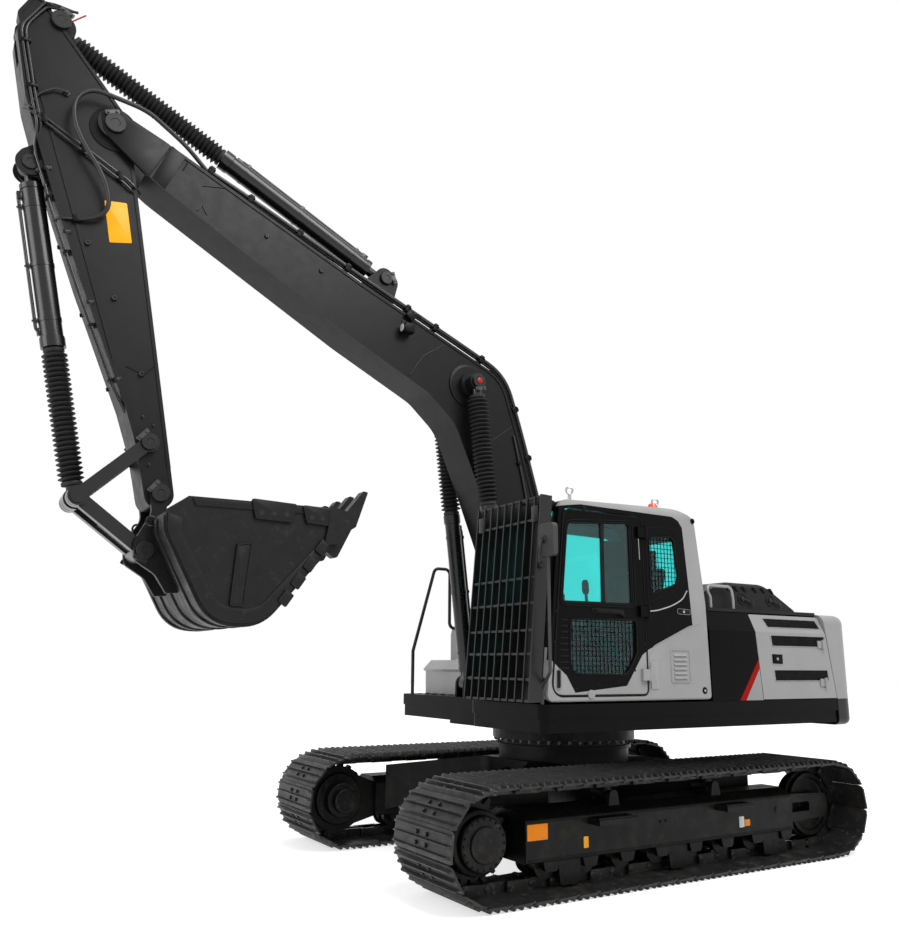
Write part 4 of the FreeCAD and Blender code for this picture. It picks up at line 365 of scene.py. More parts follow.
def offset(points, by):
    """Moves a closed outline in by a distance, or out where it is negative."""
    area = sum(a.x * b.y - b.x * a.y for a, b in zip(points, points[1:] + points[:1]))
    sign = 1 if area > 0 else -1
    moved = []
    for i, here in enumerate(points):
        before, after = points[i - 1], points[(i + 1) % len(points)]
        one, two = (here - before).normalized(), (after - here).normalized()
        normal = Vector((-(one.y + two.y), one.x + two.x)) * sign
        if normal.length < 1e-6:
            normal = Vector((-one.y, one.x)) * sign
        normal.normalize()
        spread = max(0.5, normal.dot(Vector((-one.y, one.x)) * sign))
        moved.append(here + normal * by / spread)
    return moved


def bend(points, radius, steps=5):
    """Rounds the corners of a bent pipe's centre line."""
    line = [Vector(points[0])]
    for before, here, after in zip(points, points[1:], points[2:]):
        here = Vector(here)
        back, ahead = Vector(before) - here, Vector(after) - here
        run = min(radius, back.length * 0.48, ahead.length * 0.48)
        line += arc(here + back.normalized() * run, here, here + ahead.normalized() * run, steps)
    line.append(Vector(points[-1]))
    return line


def block(x0, z0, x1, z1, radius=0.0):
    """The corners of an upright rectangle, all rounded alike."""
    return [(x0, z0, radius), (x1, z0, radius), (x1, z1, radius), (x0, z1, radius)]


def height_at(line, at):
    """A polyline's height and slope at a place along it."""
    for (x0, z0), (x1, z1) in zip(line, line[1:]):
        if at <= x1:
            return z0 + (z1 - z0) * (at - x0) / (x1 - x0), math.atan2(z1 - z0, x1 - x0)
    raise ValueError(at)


def around(middle, radius, count):
    """A circle's points in the plane of an outline."""
    turns = [2 * math.pi * k / count for k in range(count)]
    return [(middle[0] + radius * math.cos(turn), middle[1] + radius * math.sin(turn)) for turn in turns]


def bands(rows, sides):
    """The faces between rows of points that each run round a loop."""
    pairs = [(k, (k + 1) % sides) for k in range(sides)]
    starts = range(0, rows * sides, sides)
    return [(low + a, low + b, low + sides + b, low + sides + a) for low in starts for a, b in pairs]


def lids(last, sides):
    """The faces over the first row of points and over the row that starts at a number."""
    return [tuple(range(sides))[::-1], tuple(range(last, last + sides))]


def across(axis):
    """An axis of length 1 and two directions square to it."""
    axis = Vector(axis).normalized()
    side = axis.orthogonal().normalized()
    return axis, side, axis.cross(side)


def shown(name, data):
    """A new object in the scene."""
    made = bpy.data.objects.new(name, data)
    bpy.context.scene.collection.objects.link(made)
    return made


class Kit:
    """Gathers many small solids into one piece."""

    def __init__(self, place=MACHINE):
        self.bm = bmesh.new()
        self.place = place

    def add(self, points, faces, bevel=0.0):
        made = [self.bm.verts.new(self.place @ Vector(p)) for p in points]
        new_faces = [self.bm.faces.new([made[i] for i in face]) for face in faces]
        bmesh.ops.recalc_face_normals(self.bm, faces=new_faces)
        if bevel:
            edges = dict.fromkeys(edge for face in new_faces for edge in face.edges)
            sharp = [e for e in edges if len(e.link_faces) == 2 and e.calc_face_angle(0) > CREASE]
            bmesh.ops.bevel(self.bm, geom=sharp, offset=bevel, segments=2, affect="EDGES", profile=0.5,
                clamp_overlap=True)

    def box(self, low, high, bevel=0.0):
        (x0, y0, z0), (x1, y1, z1) = low, high
        points = [(x0, y0, z0), (x1, y0, z0), (x1, y1, z0), (x0, y1, z0), (x0, y0, z1), (x1, y0, z1), (x1, y1, z1),
            (x0, y1, z1)]
        faces = [(3, 2, 1, 0), (4, 5, 6, 7), (0, 1, 5, 4), (1, 2, 6, 5), (2, 3, 7, 6), (3, 0, 4, 7)]
        self.add(points, faces, bevel)

    def prism(self, corners, low, high, bevel=0.0, steps=4):
        """An outline in (x, z) given a thickness from y = low to y = high."""
        flat = fillet(corners, steps)
        count = len(flat)
        points = [(p.x, low, p.y) for p in flat] + [(p.x, high, p.y) for p in flat]
        self.add(points, [tuple(range(count)), tuple(range(2 * count - 1, count - 1, -1))] + bands(1, count), bevel)

    def slab(self, corners, y, thick, bevel=0.0):
        """A prism from a face at y, outwards or inwards with the sign of its thickness."""
        self.prism(corners, *sorted((y, y + thick)), bevel)

    def rim(self, corners, low, high, wide, steps=4, slope=0.0):
        """A frame along an outline in (x, z): wide in the plane, from y = low to y = high."""
        outer = fillet(corners, steps)
        inner = offset(outer, wide)
        top_out, top_in = offset(outer, slope), offset(outer, wide - slope)
        count = len(outer)
        rows = [[(p.x, low, p.y) for p in outer], [(p.x, high, p.y) for p in top_out],
            [(p.x, high, p.y) for p in top_in], [(p.x, low, p.y) for p in inner]]
        points = [p for row in rows for p in row]
        faces = []
        for r in range(4):
            s = (r + 1) % 4
            faces += [(r * count + i, r * count + (i + 1) % count, s * count + (i + 1) % count, s * count + i)
                for i in range(count)]
        self.add(points, faces)

    def lathe(self, centre, axis, profile, sides=24):
        """Turns a profile of (distance along the axis, radius) round an axis."""
        axis, side, other = across(axis)
        centre = Vector(centre)
        points = []
        for along, radius in profile:
            for k in range(sides):
                angle = 2 * math.pi * k / sides
                points.append(centre + axis * along + (side * math.cos(angle) + other * math.sin(angle)) * radius)
        rows = len(profile) - 1
        self.add(points, bands(rows, sides) + lids(rows * sides, sides))

    def stud(self, centre, side, profile, sides=24):
        """A turned shape on a side of the machine: 1 for the left and -1 for the right."""
        self.lathe(centre, (0, side, 0), profile, sides)

    def bolt(self, centre, axis, radius=0.012, high=0.009):
        self.lathe(centre, axis, [(0, radius * 1.45), (high * 0.25, radius * 1.45)], 14)
        self.lathe(Vector(centre) + Vector(axis).normalized() * high * 0.2, axis,
            [(0, radius), (high * 0.8, radius), (high, radius * 0.85)], 6)

    def tube(self, points, radius, sides=10):
        """Sweeps a circle along a line of points."""
        line = [Vector(p) for p in points]
        ring_side = None
        verts = []
        for i, here in enumerate(line):
            way = (line[min(i + 1, len(line) - 1)] - line[max(i - 1, 0)]).normalized()
            if ring_side is None:
                ring_side = way.orthogonal().normalized()
            ring_side = (ring_side - way * ring_side.dot(way)).normalized()
            other = way.cross(ring_side)
            for k in range(sides):
                angle = 2 * math.pi * k / sides
                verts.append(here + (ring_side * math.cos(angle) + other * math.sin(angle)) * radius)
        rows = len(line) - 1
        self.add(verts, bands(rows, sides) + lids(rows * sides, sides))

    def pipe(self, points, corner, radius, sides=10, steps=5):
        """A tube whose bends are rounded."""
        self.tube(bend(points, corner, steps), radius, sides)

    def hoop(self, centre, axis, radius, wire, sides=24, ring=8):
        """A round ring of wire."""
        axis, side, other = across(axis)
        points, faces = [], []
        for k in range(sides):
            angle = 2 * math.pi * k / sides
            out = side * math.cos(angle) + other * math.sin(angle)
            for j in range(ring):
                turn = 2 * math.pi * j / ring
                points.append(Vector(centre) + out * (radius + wire * math.cos(turn)) + axis * wire * math.sin(turn))
        for k in range(sides):
            for j in range(ring):
                m, n = (k + 1) % sides, (j + 1) % ring
                faces.append((k * ring + j, m * ring + j, m * ring + n, k * ring + n))
        self.add(points, faces)

    def finished(self, name, look, smooth=35):
        mesh = bpy.data.meshes.new(name)
        self.bm.to_mesh(mesh)
        self.bm.free()
        piece = shown(name, mesh)
        mesh.shade_smooth()
        mesh.set_sharp_from_angle(angle=math.radians(smooth))
        mesh.materials.append(LOOK[look])
        return piece

    def done(self, name, look, body, smooth=35):
        piece = self.finished(name, look, smooth)
        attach(piece, body)
        return piece


def all_done(body, *pieces):
    """Finishes pieces that ride one body: each is (kit, name, look)."""
    for kit, name, look in pieces:
        kit.done(name, look, body)


def keeper(pins, plates, centre, side, radius, turn=0.0):
    """A pin's end: a chamfered cap, a keeper bar and its two bolts. The y of centre is the outer face."""
    x, y, z = centre
    pins.stud((x, y, z), side, [(0, radius), (0.01, radius), (0.013, radius - 0.004), (0.013, radius * 0.45),
        (0.008, radius * 0.4)], 28)
    bar = [(-0.055, 0.012), (0.055, 0.012), (0.055, 0.046), (-0.055, 0.046)]
    cos, sin = math.cos(turn), math.sin(turn)
    out = radius * 0.72
    shifted = [(x + u * cos - (v + out) * sin, z + u * sin + (v + out) * cos, 0.008) for u, v in bar]
    plates.slab(shifted, y, side * 0.012)
    for u in (-0.033, 0.033):
        v = 0.029 + out
        plates.bolt((x + u * cos - v * sin, y + side * 0.011, z + u * sin + v * cos), (0, side, 0), 0.011, 0.01)


FOCAL, SENSOR = 33.93, 36
EYE_PLACE = (4.1771, 6.8741, 1.6236)
PITCH, YAW, ROLL = 102.527, 148.944, 0.43019


def camera():
    """The photograph's camera, from a fit of points on the machine."""
    lens = bpy.data.cameras.new("camera")
    lens.lens = FOCAL
    lens.sensor_width = SENSOR
    eye = shown("camera", lens)
    eye.location = EYE_PLACE
    eye.rotation_mode = "QUATERNION"
    look = Euler((math.radians(PITCH), 0, math.radians(YAW))).to_quaternion()
    eye.rotation_quaternion = look @ Quaternion((0, 0, 1), math.radians(ROLL))
    bpy.context.scene.camera = eye


camera()

# The free hose over the knee, from the boom's tip to a block on the arm's side.

HOSE_WIDE, HOSE_LENGTH = 0.036, 2.36
HOSE_STATIONS = [(BOOM, 5.04, 0.15, 0.4), (BOOM, 5.18, 0.15, 0.405), (BOOM, 5.32, 0.16, 0.396),
    (BOOM, 5.5, 0.18, 0.352), (BOOM, 5.66, 0.215, 0.3), (ARM, -0.2, 0.245, -0.03), (ARM, -0.25, 0.25, 0.15),
    (ARM, -0.15, 0.25, 0.29), (ARM, 0.05, 0.25, 0.315), (ARM, 0.25, 0.25, 0.25), (ARM, 0.42, 0.245, 0.165),
    (ARM, 0.58, 0.235, 0.12), (ARM, 0.73, 0.225, 0.13), (ARM, 0.8, 0.205, 0.23), (ARM, 0.8, 0.174, 0.345)]


def route(points):
    """The points of a smooth open NURBS line that control points draw."""
    line = bpy.data.curves.new("route", "CURVE")
    line.dimensions = "3D"
    line.resolution_u = 12
    spline = line.splines.new("NURBS")
    spline.points.add(len(points) - 1)
    for point, place in zip(spline.points, points):
        point.co = (*place, 1)
    spline.order_u = 3
    spline.use_endpoint_u = True
    holder = bpy.data.objects.new("route", line)
    mesh = bpy.data.meshes.new_from_object(holder)
    path = [v.co.copy() for v in mesh.vertices]
    bpy.data.meshes.remove(mesh)
    bpy.data.objects.remove(holder)
    bpy.data.curves.remove(line)
    return path


def knee_hose():
    path = route([place @ Vector(station) for place, *station in HOSE_STATIONS])
    kit = Kit(Matrix.Identity(4))
    kit.tube(path, HOSE_WIDE / 2, 14)
    hose = kit.finished("knee_hose_outer", "hose")
    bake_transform(hose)


knee_hose()


# Tracks: shoes on two rows of links, laid round the rail that the CAD loop follows.

SPAN, RAIL, TIP_R = 3.65, 0.33, 0.41
SHOES = 49
SHOE_HALF = 0.4
TRACK_Y = 1.195


def track_places():
    """Where the shoes meet, along the foot, round the front, back along the top and round the rear."""
    whole = 2 * SPAN + 2 * math.pi * RAIL
    places = []
    for i in range(SHOES):
        way = (i + 0.5) * whole / SHOES
        if way < SPAN:
            places.append(Vector((-SPAN / 2 + way, 0, -RAIL)))
        elif way < SPAN + math.pi * RAIL:
            turn = (way - SPAN) / RAIL
            places.append(Vector((SPAN / 2 + RAIL * math.sin(turn), 0, -RAIL * math.cos(turn))))
        elif way < 2 * SPAN + math.pi * RAIL:
            places.append(Vector((SPAN / 2 - (way - SPAN - math.pi * RAIL), 0, RAIL)))
        else:
            turn = (way - 2 * SPAN - math.pi * RAIL) / RAIL
            places.append(Vector((-SPAN / 2 - RAIL * math.sin(turn), 0, RAIL * math.cos(turn))))
    return places


SHOE_TOP, SHOE_LOW, GROUSER = 0.054, 0.04, 0.0795
SHOE_LINE = [(-0.62, 0.036), (-0.57, 0.042), (-0.46, 0.045), (-0.44, SHOE_TOP), (-0.41, GROUSER), (-0.375, GROUSER),
    (-0.34, SHOE_TOP), (-0.075, SHOE_TOP), (-0.045, GROUSER), (0.005, GROUSER), (0.035, SHOE_TOP), (0.285, SHOE_TOP),
    (0.315, GROUSER), (0.365, GROUSER), (0.395, SHOE_TOP), (0.52, SHOE_TOP), (0.53, 0.047), (0.4, SHOE_LOW),
    (-0.44, 0.036), (-0.6, 0.028)]


def shoe_row(y, keep, narrow):
    """One section of a shoe: how much of the grouser's height it keeps and how far its ends are cut in."""
    row = []
    for along, away in SHOE_LINE:
        if away > SHOE_TOP:
            away = SHOE_TOP + (away - SHOE_TOP) * keep
        row.append((along * (1 - narrow), away, y))
    return row


def track(side, label):
    middle_y = side * TRACK_Y
    places = track_places()
    centre = Vector((0, 0, TIP_R))
    shoes, links, bolts = Kit(), Kit(), Kit()
    rows = [shoe_row(-SHOE_HALF, 0.0, 0.1), shoe_row(-SHOE_HALF + 0.012, 0.75, 0.06),
        shoe_row(-SHOE_HALF + 0.022, 1.0, 0.03), shoe_row(-SHOE_HALF + 0.045, 1.0, 0.0)]
    rows += [[(a, b, -y) for a, b, y in row] for row in reversed(rows)]
    for i, first in enumerate(places):
        last = places[(i + 1) % len(places)]
        pitch = (last - first).length
        ahead = (last - first).normalized()
        out = -ahead.cross(Vector((0, 1, 0)))
        base = (first + last) / 2 + centre

        def at(along, away, y):
            return base + ahead * (along * pitch) + out * away + Vector((0, middle_y + y, 0))

        points = [at(*p) for row in rows for p in row]
        count = len(SHOE_LINE)
        last_row = len(rows) - 1
        ends = [tuple(range(count)), tuple(range(last_row * count, len(rows) * count))[::-1]]
        shoes.add(points, ends + bands(last_row, count))
        for along in (-0.21, 0.16):
            for y in (-0.068, 0.068):
                bolts.bolt(at(along, SHOE_TOP - 0.001, y), out, 0.014, 0.013)
        strand = (0.038, 0.066) if i % 2 else (0.067, 0.094)
        for k in (-1, 1):
            outline = fillet([(-0.6, -0.038, 0.03), (0.6, -0.038, 0.03), (0.6, 0.04, 0.008), (-0.6, 0.04, 0.008)], 3)
            low, high = sorted((k * strand[0], k * strand[1]))
            ring = [at(p.x, p.y, y) for y in (low, high) for p in outline]
            n = len(outline)
            links.add(ring, [tuple(range(n)), tuple(range(n, 2 * n))[::-1]] + bands(1, n))
            links.lathe(at(-0.5, -0.004, k * 0.0935), (0, k, 0), [(0, 0.022), (0.005, 0.022), (0.0065, 0.019)], 14)
    pads = shoes.done(f"{label}_track_shoes", "track", "undercarriage")
    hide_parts(f"{label}_track")
    all_done("undercarriage", (links, f"{label}_track_chain", "chain"), (bolts, f"{label}_track_bolts", "chain"))


for side, label in SIDES:
    track(side, label)


# Bellows: a ribbed rubber sleeve between each barrel and its rod's eye.

LIFT_YS = (-0.32, 0.32)
COLLAR, CLAMP_BAND, FOLD = 0.036, 0.034, 0.038


def bellows(name, foot, head, start, gap, node, wide, ys=(0.0,)):
    """A sleeve from the gland, at start along the cylinder, to a gap short of the head pin."""
    far = reach(foot, head) - gap
    near = start + COLLAR
    band = CLAMP_BAND
    folds = round((far - near - 2 * band) / FOLD)
    pitch = (far - near - 2 * band) / folds
    profile = [(near, 0.058), (near, 0.0735), (near + 0.008, 0.075), (near + 0.024, 0.075), (near + band, 0.062)]
    for i in range(folds):
        at = near + band + i * pitch
        profile += [(at + pitch * 0.1, 0.06), (at + pitch * 0.44, wide - 0.003), (at + pitch * 0.54, wide),
            (at + pitch * 0.64, wide - 0.003)]
    profile += [(far - band, 0.06), (far - 0.024, 0.075), (far - 0.008, 0.075), (far, 0.0735), (far, 0.05)]
    kit = Kit(Matrix.Identity(4))
    for y in ys:
        kit.place = axle(foot, head, y)
        kit.lathe((0, 0, 0), (1, 0, 0), profile, 28)
    piece = kit.finished(name, "rubber", 60)
    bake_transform(piece)
    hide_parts(node)


bellows("lift_bellows", "lift_foot", "lift_rod", 1.56, 0.125,
    "lift_cylinder_bellows", 0.096, LIFT_YS)
bellows("arm_bellows", "arm_base", "arm_rod", 1.7, 0.134,
    "arm_cylinder_bellows", 0.09)
bellows("bucket_bellows", "tip_base", "knee", 1.4, 0.1,
    "bucket_cylinder_bellows", 0.092)


def barrel(name, foot, head, gland, start, radius, body, ys=(0.0,)):
    """Bolted gland head, end ring, clamp bands and a feed pipe along a cylinder's barrel."""
    metal, pipes, bolts = Kit(), Kit(), Kit()
    for y in ys:
        place = axle(foot, head, y)
        metal.place = pipes.place = bolts.place = place
        metal.lathe((gland - 0.055, 0, 0), (1, 0, 0), [(0, radius), (0.004, radius + 0.007), (0.046, radius + 0.007),
            (0.05, radius + 0.003), (0.05, radius - 0.02)], 32)
        for y_out, z_out in around((0, 0), radius - 0.012, 10):
            bolts.bolt((gland - 0.006, y_out, z_out), (1, 0, 0), 0.009, 0.01)
        for at in (start + 0.16, (start + gland) / 2, gland - 0.2):
            metal.lathe((at, 0, 0), (1, 0, 0), [(0, radius - 0.01), (0, radius + 0.004), (0.03, radius + 0.004),
                (0.03, radius - 0.01)], 32)
            metal.box((at, -0.018, radius), (at + 0.03, 0.018, radius + 0.034), 0.003)
            bolts.bolt((at + 0.015, 0, radius + 0.033), (0, 0, 1), 0.008, 0.008)
        pipes.pipe([(start + 0.1, 0.0, radius + 0.022), (gland - 0.12, 0.0, radius + 0.022),
            (gland - 0.09, 0.0, radius - 0.006)], 0.02, 0.013, 12)
        metal.box((start + 0.055, -0.026, radius - 0.01), (start + 0.115, 0.026, radius + 0.032), 0.005)
        metal.box((gland - 0.125, -0.024, radius - 0.01), (gland - 0.07, 0.024, radius + 0.018), 0.005)
    all_done(body, (metal, f"{name}_fittings", "barrel"), (pipes, f"{name}_pipe", "pipe"),
        (bolts, f"{name}_bolts", "bolt"))


barrel("lift_cylinder", "lift_foot", "lift_rod", 1.56, 0.115, 0.072, "lift_cylinder_barrels", LIFT_YS)
barrel("arm_cylinder", "arm_base", "arm_rod", 1.7, 0.175, 0.082, "arm_cylinder_barrel")
barrel("bucket_cylinder", "tip_base", "knee", 1.4, 0.15, 0.082, "bucket_cylinder_barrel")


# Arm: its deep front box, pipes, plates and pin ends.

EAR_ROOM = 0.056
ARM_FACE = 0.15
ARM_SIDE = 0.1612


# Places on the arm are (s, t): along it from its pin, and across it towards its front.
FRONT_CORNER = [(-0.99, 0.415, 0.03), (-0.86, 0.525, 0.05), (-0.735, 0.63, 0.09)]
FRONT_EDGE = [(-0.17, 0.622, 0.5), (0.16, 0.577), (0.632, 0.502), (1.272, 0.384), (2.35, 0.15)]
FRONT_BACK = [(2.35, 0.1), (0.0, 0.4)]
# Turned ends, as (distance out, radius).
GREASE_PLUG = [(0, 0.024), (0.018, 0.022), (0.022, 0.018), (0.022, 0.008), (0.01, 0.007)]


def arm_details():
    paint, pins, plates, pipes, bolts = (Kit(ARM) for _ in range(5))
    front = [(-0.975, 0.36)] + FRONT_CORNER + FRONT_EDGE + FRONT_BACK
    paint.prism(front, EAR_ROOM, ARM_SIDE - 0.009, 0.0)
    paint.prism(front, 0.009 - ARM_SIDE, -EAR_ROOM, 0.0)
    paint.prism([(-0.5, 0.36), (-0.5, 0.628)] + FRONT_EDGE + FRONT_BACK, -EAR_ROOM - 0.001, EAR_ROOM + 0.001)
    line = fillet([(-0.985, 0.385)] + FRONT_CORNER + FRONT_EDGE)
    inner = [Vector((-0.955, 0.39))] + offset(line, 0.022)[1:-1] + [Vector((2.35, 0.128))]
    lip = [(p.x, p.y) for p in line + inner[::-1]]
    for low, high in ((0.148, ARM_SIDE), (-ARM_SIDE, -0.148)):
        paint.prism(lip, low, high)
    # cover plates over the box's sides, with a rim round the pin boss
    for side in (1, -1):
        y = side * 0.152
        paint.slab(around((0.02, 0.0), 0.185, 36), y, side * 0.0085, 0.002)
        paint.tube([(s, side * 0.1535, t) for s, t in [(1.95, -0.09), (2.02, 0.0), (1.95, 0.13)]], 0.005, 6)
        for s, t in ((1.415, 0.153), (2.015, 0.022), (0.98, 0.3)):
            pins.stud((s, y, t), side, GREASE_PLUG, 18)
        for s in (0.4, 0.9, 1.45, 2.05):
            edge = height_at([corner[:2] for corner in FRONT_EDGE], s)[0]
            paint.box((s - 0.016, side * ARM_FACE, edge - 0.045), (s + 0.016, side * 0.1605, edge + 0.012), 0.003)
            bolts.bolt((s, side * 0.16, edge - 0.016), (0, side, 0), 0.008, 0.008)
    for side in (1, -1):
        keeper(pins, bolts, (-0.845, side * 0.1725, 0.301), side, 0.075, 2.2)
    for side in (1, -1):
        keeper(pins, bolts, (0.334, side * 0.0955, 0.627), side, 0.058, 3.6)
        keeper(pins, bolts, (2.555, side * 0.2165, 0.034), side, 0.062, 0.9)
        keeper(pins, bolts, (2.95, side * 0.2155, 0.0), side, 0.066, 0.9)
        paint.stud((0.334, side * 0.081, 0.627), side, [(0, 0.105), (0.009, 0.105), (0.012, 0.101)], 32)
    # two pipes round the top corner and down the front edge to the bucket cylinder
    for i, y in enumerate((0.118, 0.084)):
        near, drop = 0.1725, 0.03 * i
        run = [(-0.93, near, 0.2 - drop), (-0.965 + drop, near, 0.33), (-0.965 + drop, near, 0.41 - drop / 2),
            (-0.855, near, 0.5 - drop), (-0.735, near, 0.6 - drop), (-0.6, near, 0.6 - drop),
            (-0.17, near, 0.585 - drop), (0.08, near, 0.56 - drop), (0.24, y * 1.08, 0.6), (0.52, y * 1.1, 0.548)]
        pipes.pipe(run, 0.09, 0.0105, 10, 6)
        pipes.pipe([(0.52, y * 1.1, 0.548), (0.66, y * 1.12, 0.532), (1.3, y * 1.12, 0.408), (2.1, y * 1.12, 0.232),
            (2.3, y, 0.16)], 0.12, 0.008, 10, 6)
    for s, t in ((-0.95, 0.372), (-0.62, 0.585), (-0.25, 0.572)):
        plates.box((s - 0.016, ARM_FACE, t - 0.045), (s + 0.016, 0.187, t + 0.03), 0.004)
        bolts.bolt((s, 0.187, t - 0.008), (0, 1, 0), 0.007, 0.008)
    plates.box((0.775, ARM_FACE, 0.335), (0.825, 0.19, 0.392), 0.005)
    pipes.pipe([(0.8, 0.172, 0.385), (0.8, 0.172, 0.475), (0.8, 0.12, 0.52)], 0.03, 0.011, 10, 4)
    for s, t in ((0.62, 0.502), (1.05, 0.425), (1.62, 0.308), (2.05, 0.215)):
        plates.box((s - 0.014, 0.07, t - 0.01), (s + 0.014, 0.142, t + 0.048), 0.004)
        bolts.bolt((s, 0.106, t + 0.047), (0.12, 0, 1), 0.007, 0.008)
    # the straight pipe pair across the side
    for shift in (0.0, 0.03):
        run = [(-0.1 + shift, 0.14, 0.63 + shift * 0.3), (-0.075 + shift, 0.176, 0.6 + shift * 0.3),
            (0.44 + shift, 0.176, -0.045 + shift), (0.5 + shift, 0.176, -0.1 + shift),
            (0.53 + shift, 0.12, -0.145 + shift)]
        pipes.pipe(run, 0.03, 0.0095, 10, 4)
    for a in (0.12, 0.52, 0.9):
        s, t = -0.075 + 0.53 * a, 0.6 - 0.655 * a
        plates.box((s - 0.02, ARM_FACE, t - 0.032), (s + 0.055, 0.188, t + 0.012), 0.004)
    pipes.pipe([(-0.09, 0.15, 0.6), (-0.19, 0.178, 0.53), (-0.25, 0.18, 0.4), (-0.235, 0.18, 0.335)], 0.06, 0.009)
    pins.stud((-0.232, 0.1515, 0.326), 1, [(0, 0.026), (0.014, 0.026), (0.016, 0.016), (0.034, 0.015), (0.036, 0.012)],
        6)
    # blank plate, marker rod and grease points
    plate = Kit(ARM)
    plate.prism([(0.624, 0.139, 0.01), (0.633, -0.028, 0.01), (0.962, -0.028, 0.01), (0.966, 0.139, 0.01)], 0.1518,
        0.1548, 0.0008)
    rod = Kit(ARM)
    rod.tube([(-0.83, 0.186, 0.235), (-0.9, 0.2, 0.12)], 0.006, 8)
    all_done("arm", (plate, "arm_blank_plate", "yellow"), (rod, "arm_marker_rod", "red"))
    for s, t in ((2.35, 0.05), (2.42, -0.02), (2.72, 0.05)):
        pins.stud((s, ARM_FACE, t), 1, [(0, 0.012), (0.012, 0.012), (0.014, 0.006), (0.024, 0.005)], 6)
    all_done("arm", (paint, "arm_front_box", "arm"), (pins, "arm_pin_ends", "pin"),
        (plates, "arm_pipe_clamps", "trim"), (pipes, "arm_pipes", "pipe"), (bolts, "arm_bolts", "bolt"))


arm_details()

# Boom: pipes along its back, weld lines, tip plates, lamp.

# Places on the boom are (u, v): along it from its foot pin, and up across it.
BOOM_FACE = 0.187
TOP_LINE = [(0.3, 0.455), (1.00, 0.88), (1.5, 1.178), (2.01, 1.458), (2.5, 1.285), (3.3, 0.992), (3.56, 0.898),
    (4.6, 0.54), (5.1, 0.372), (5.3, 0.325)]


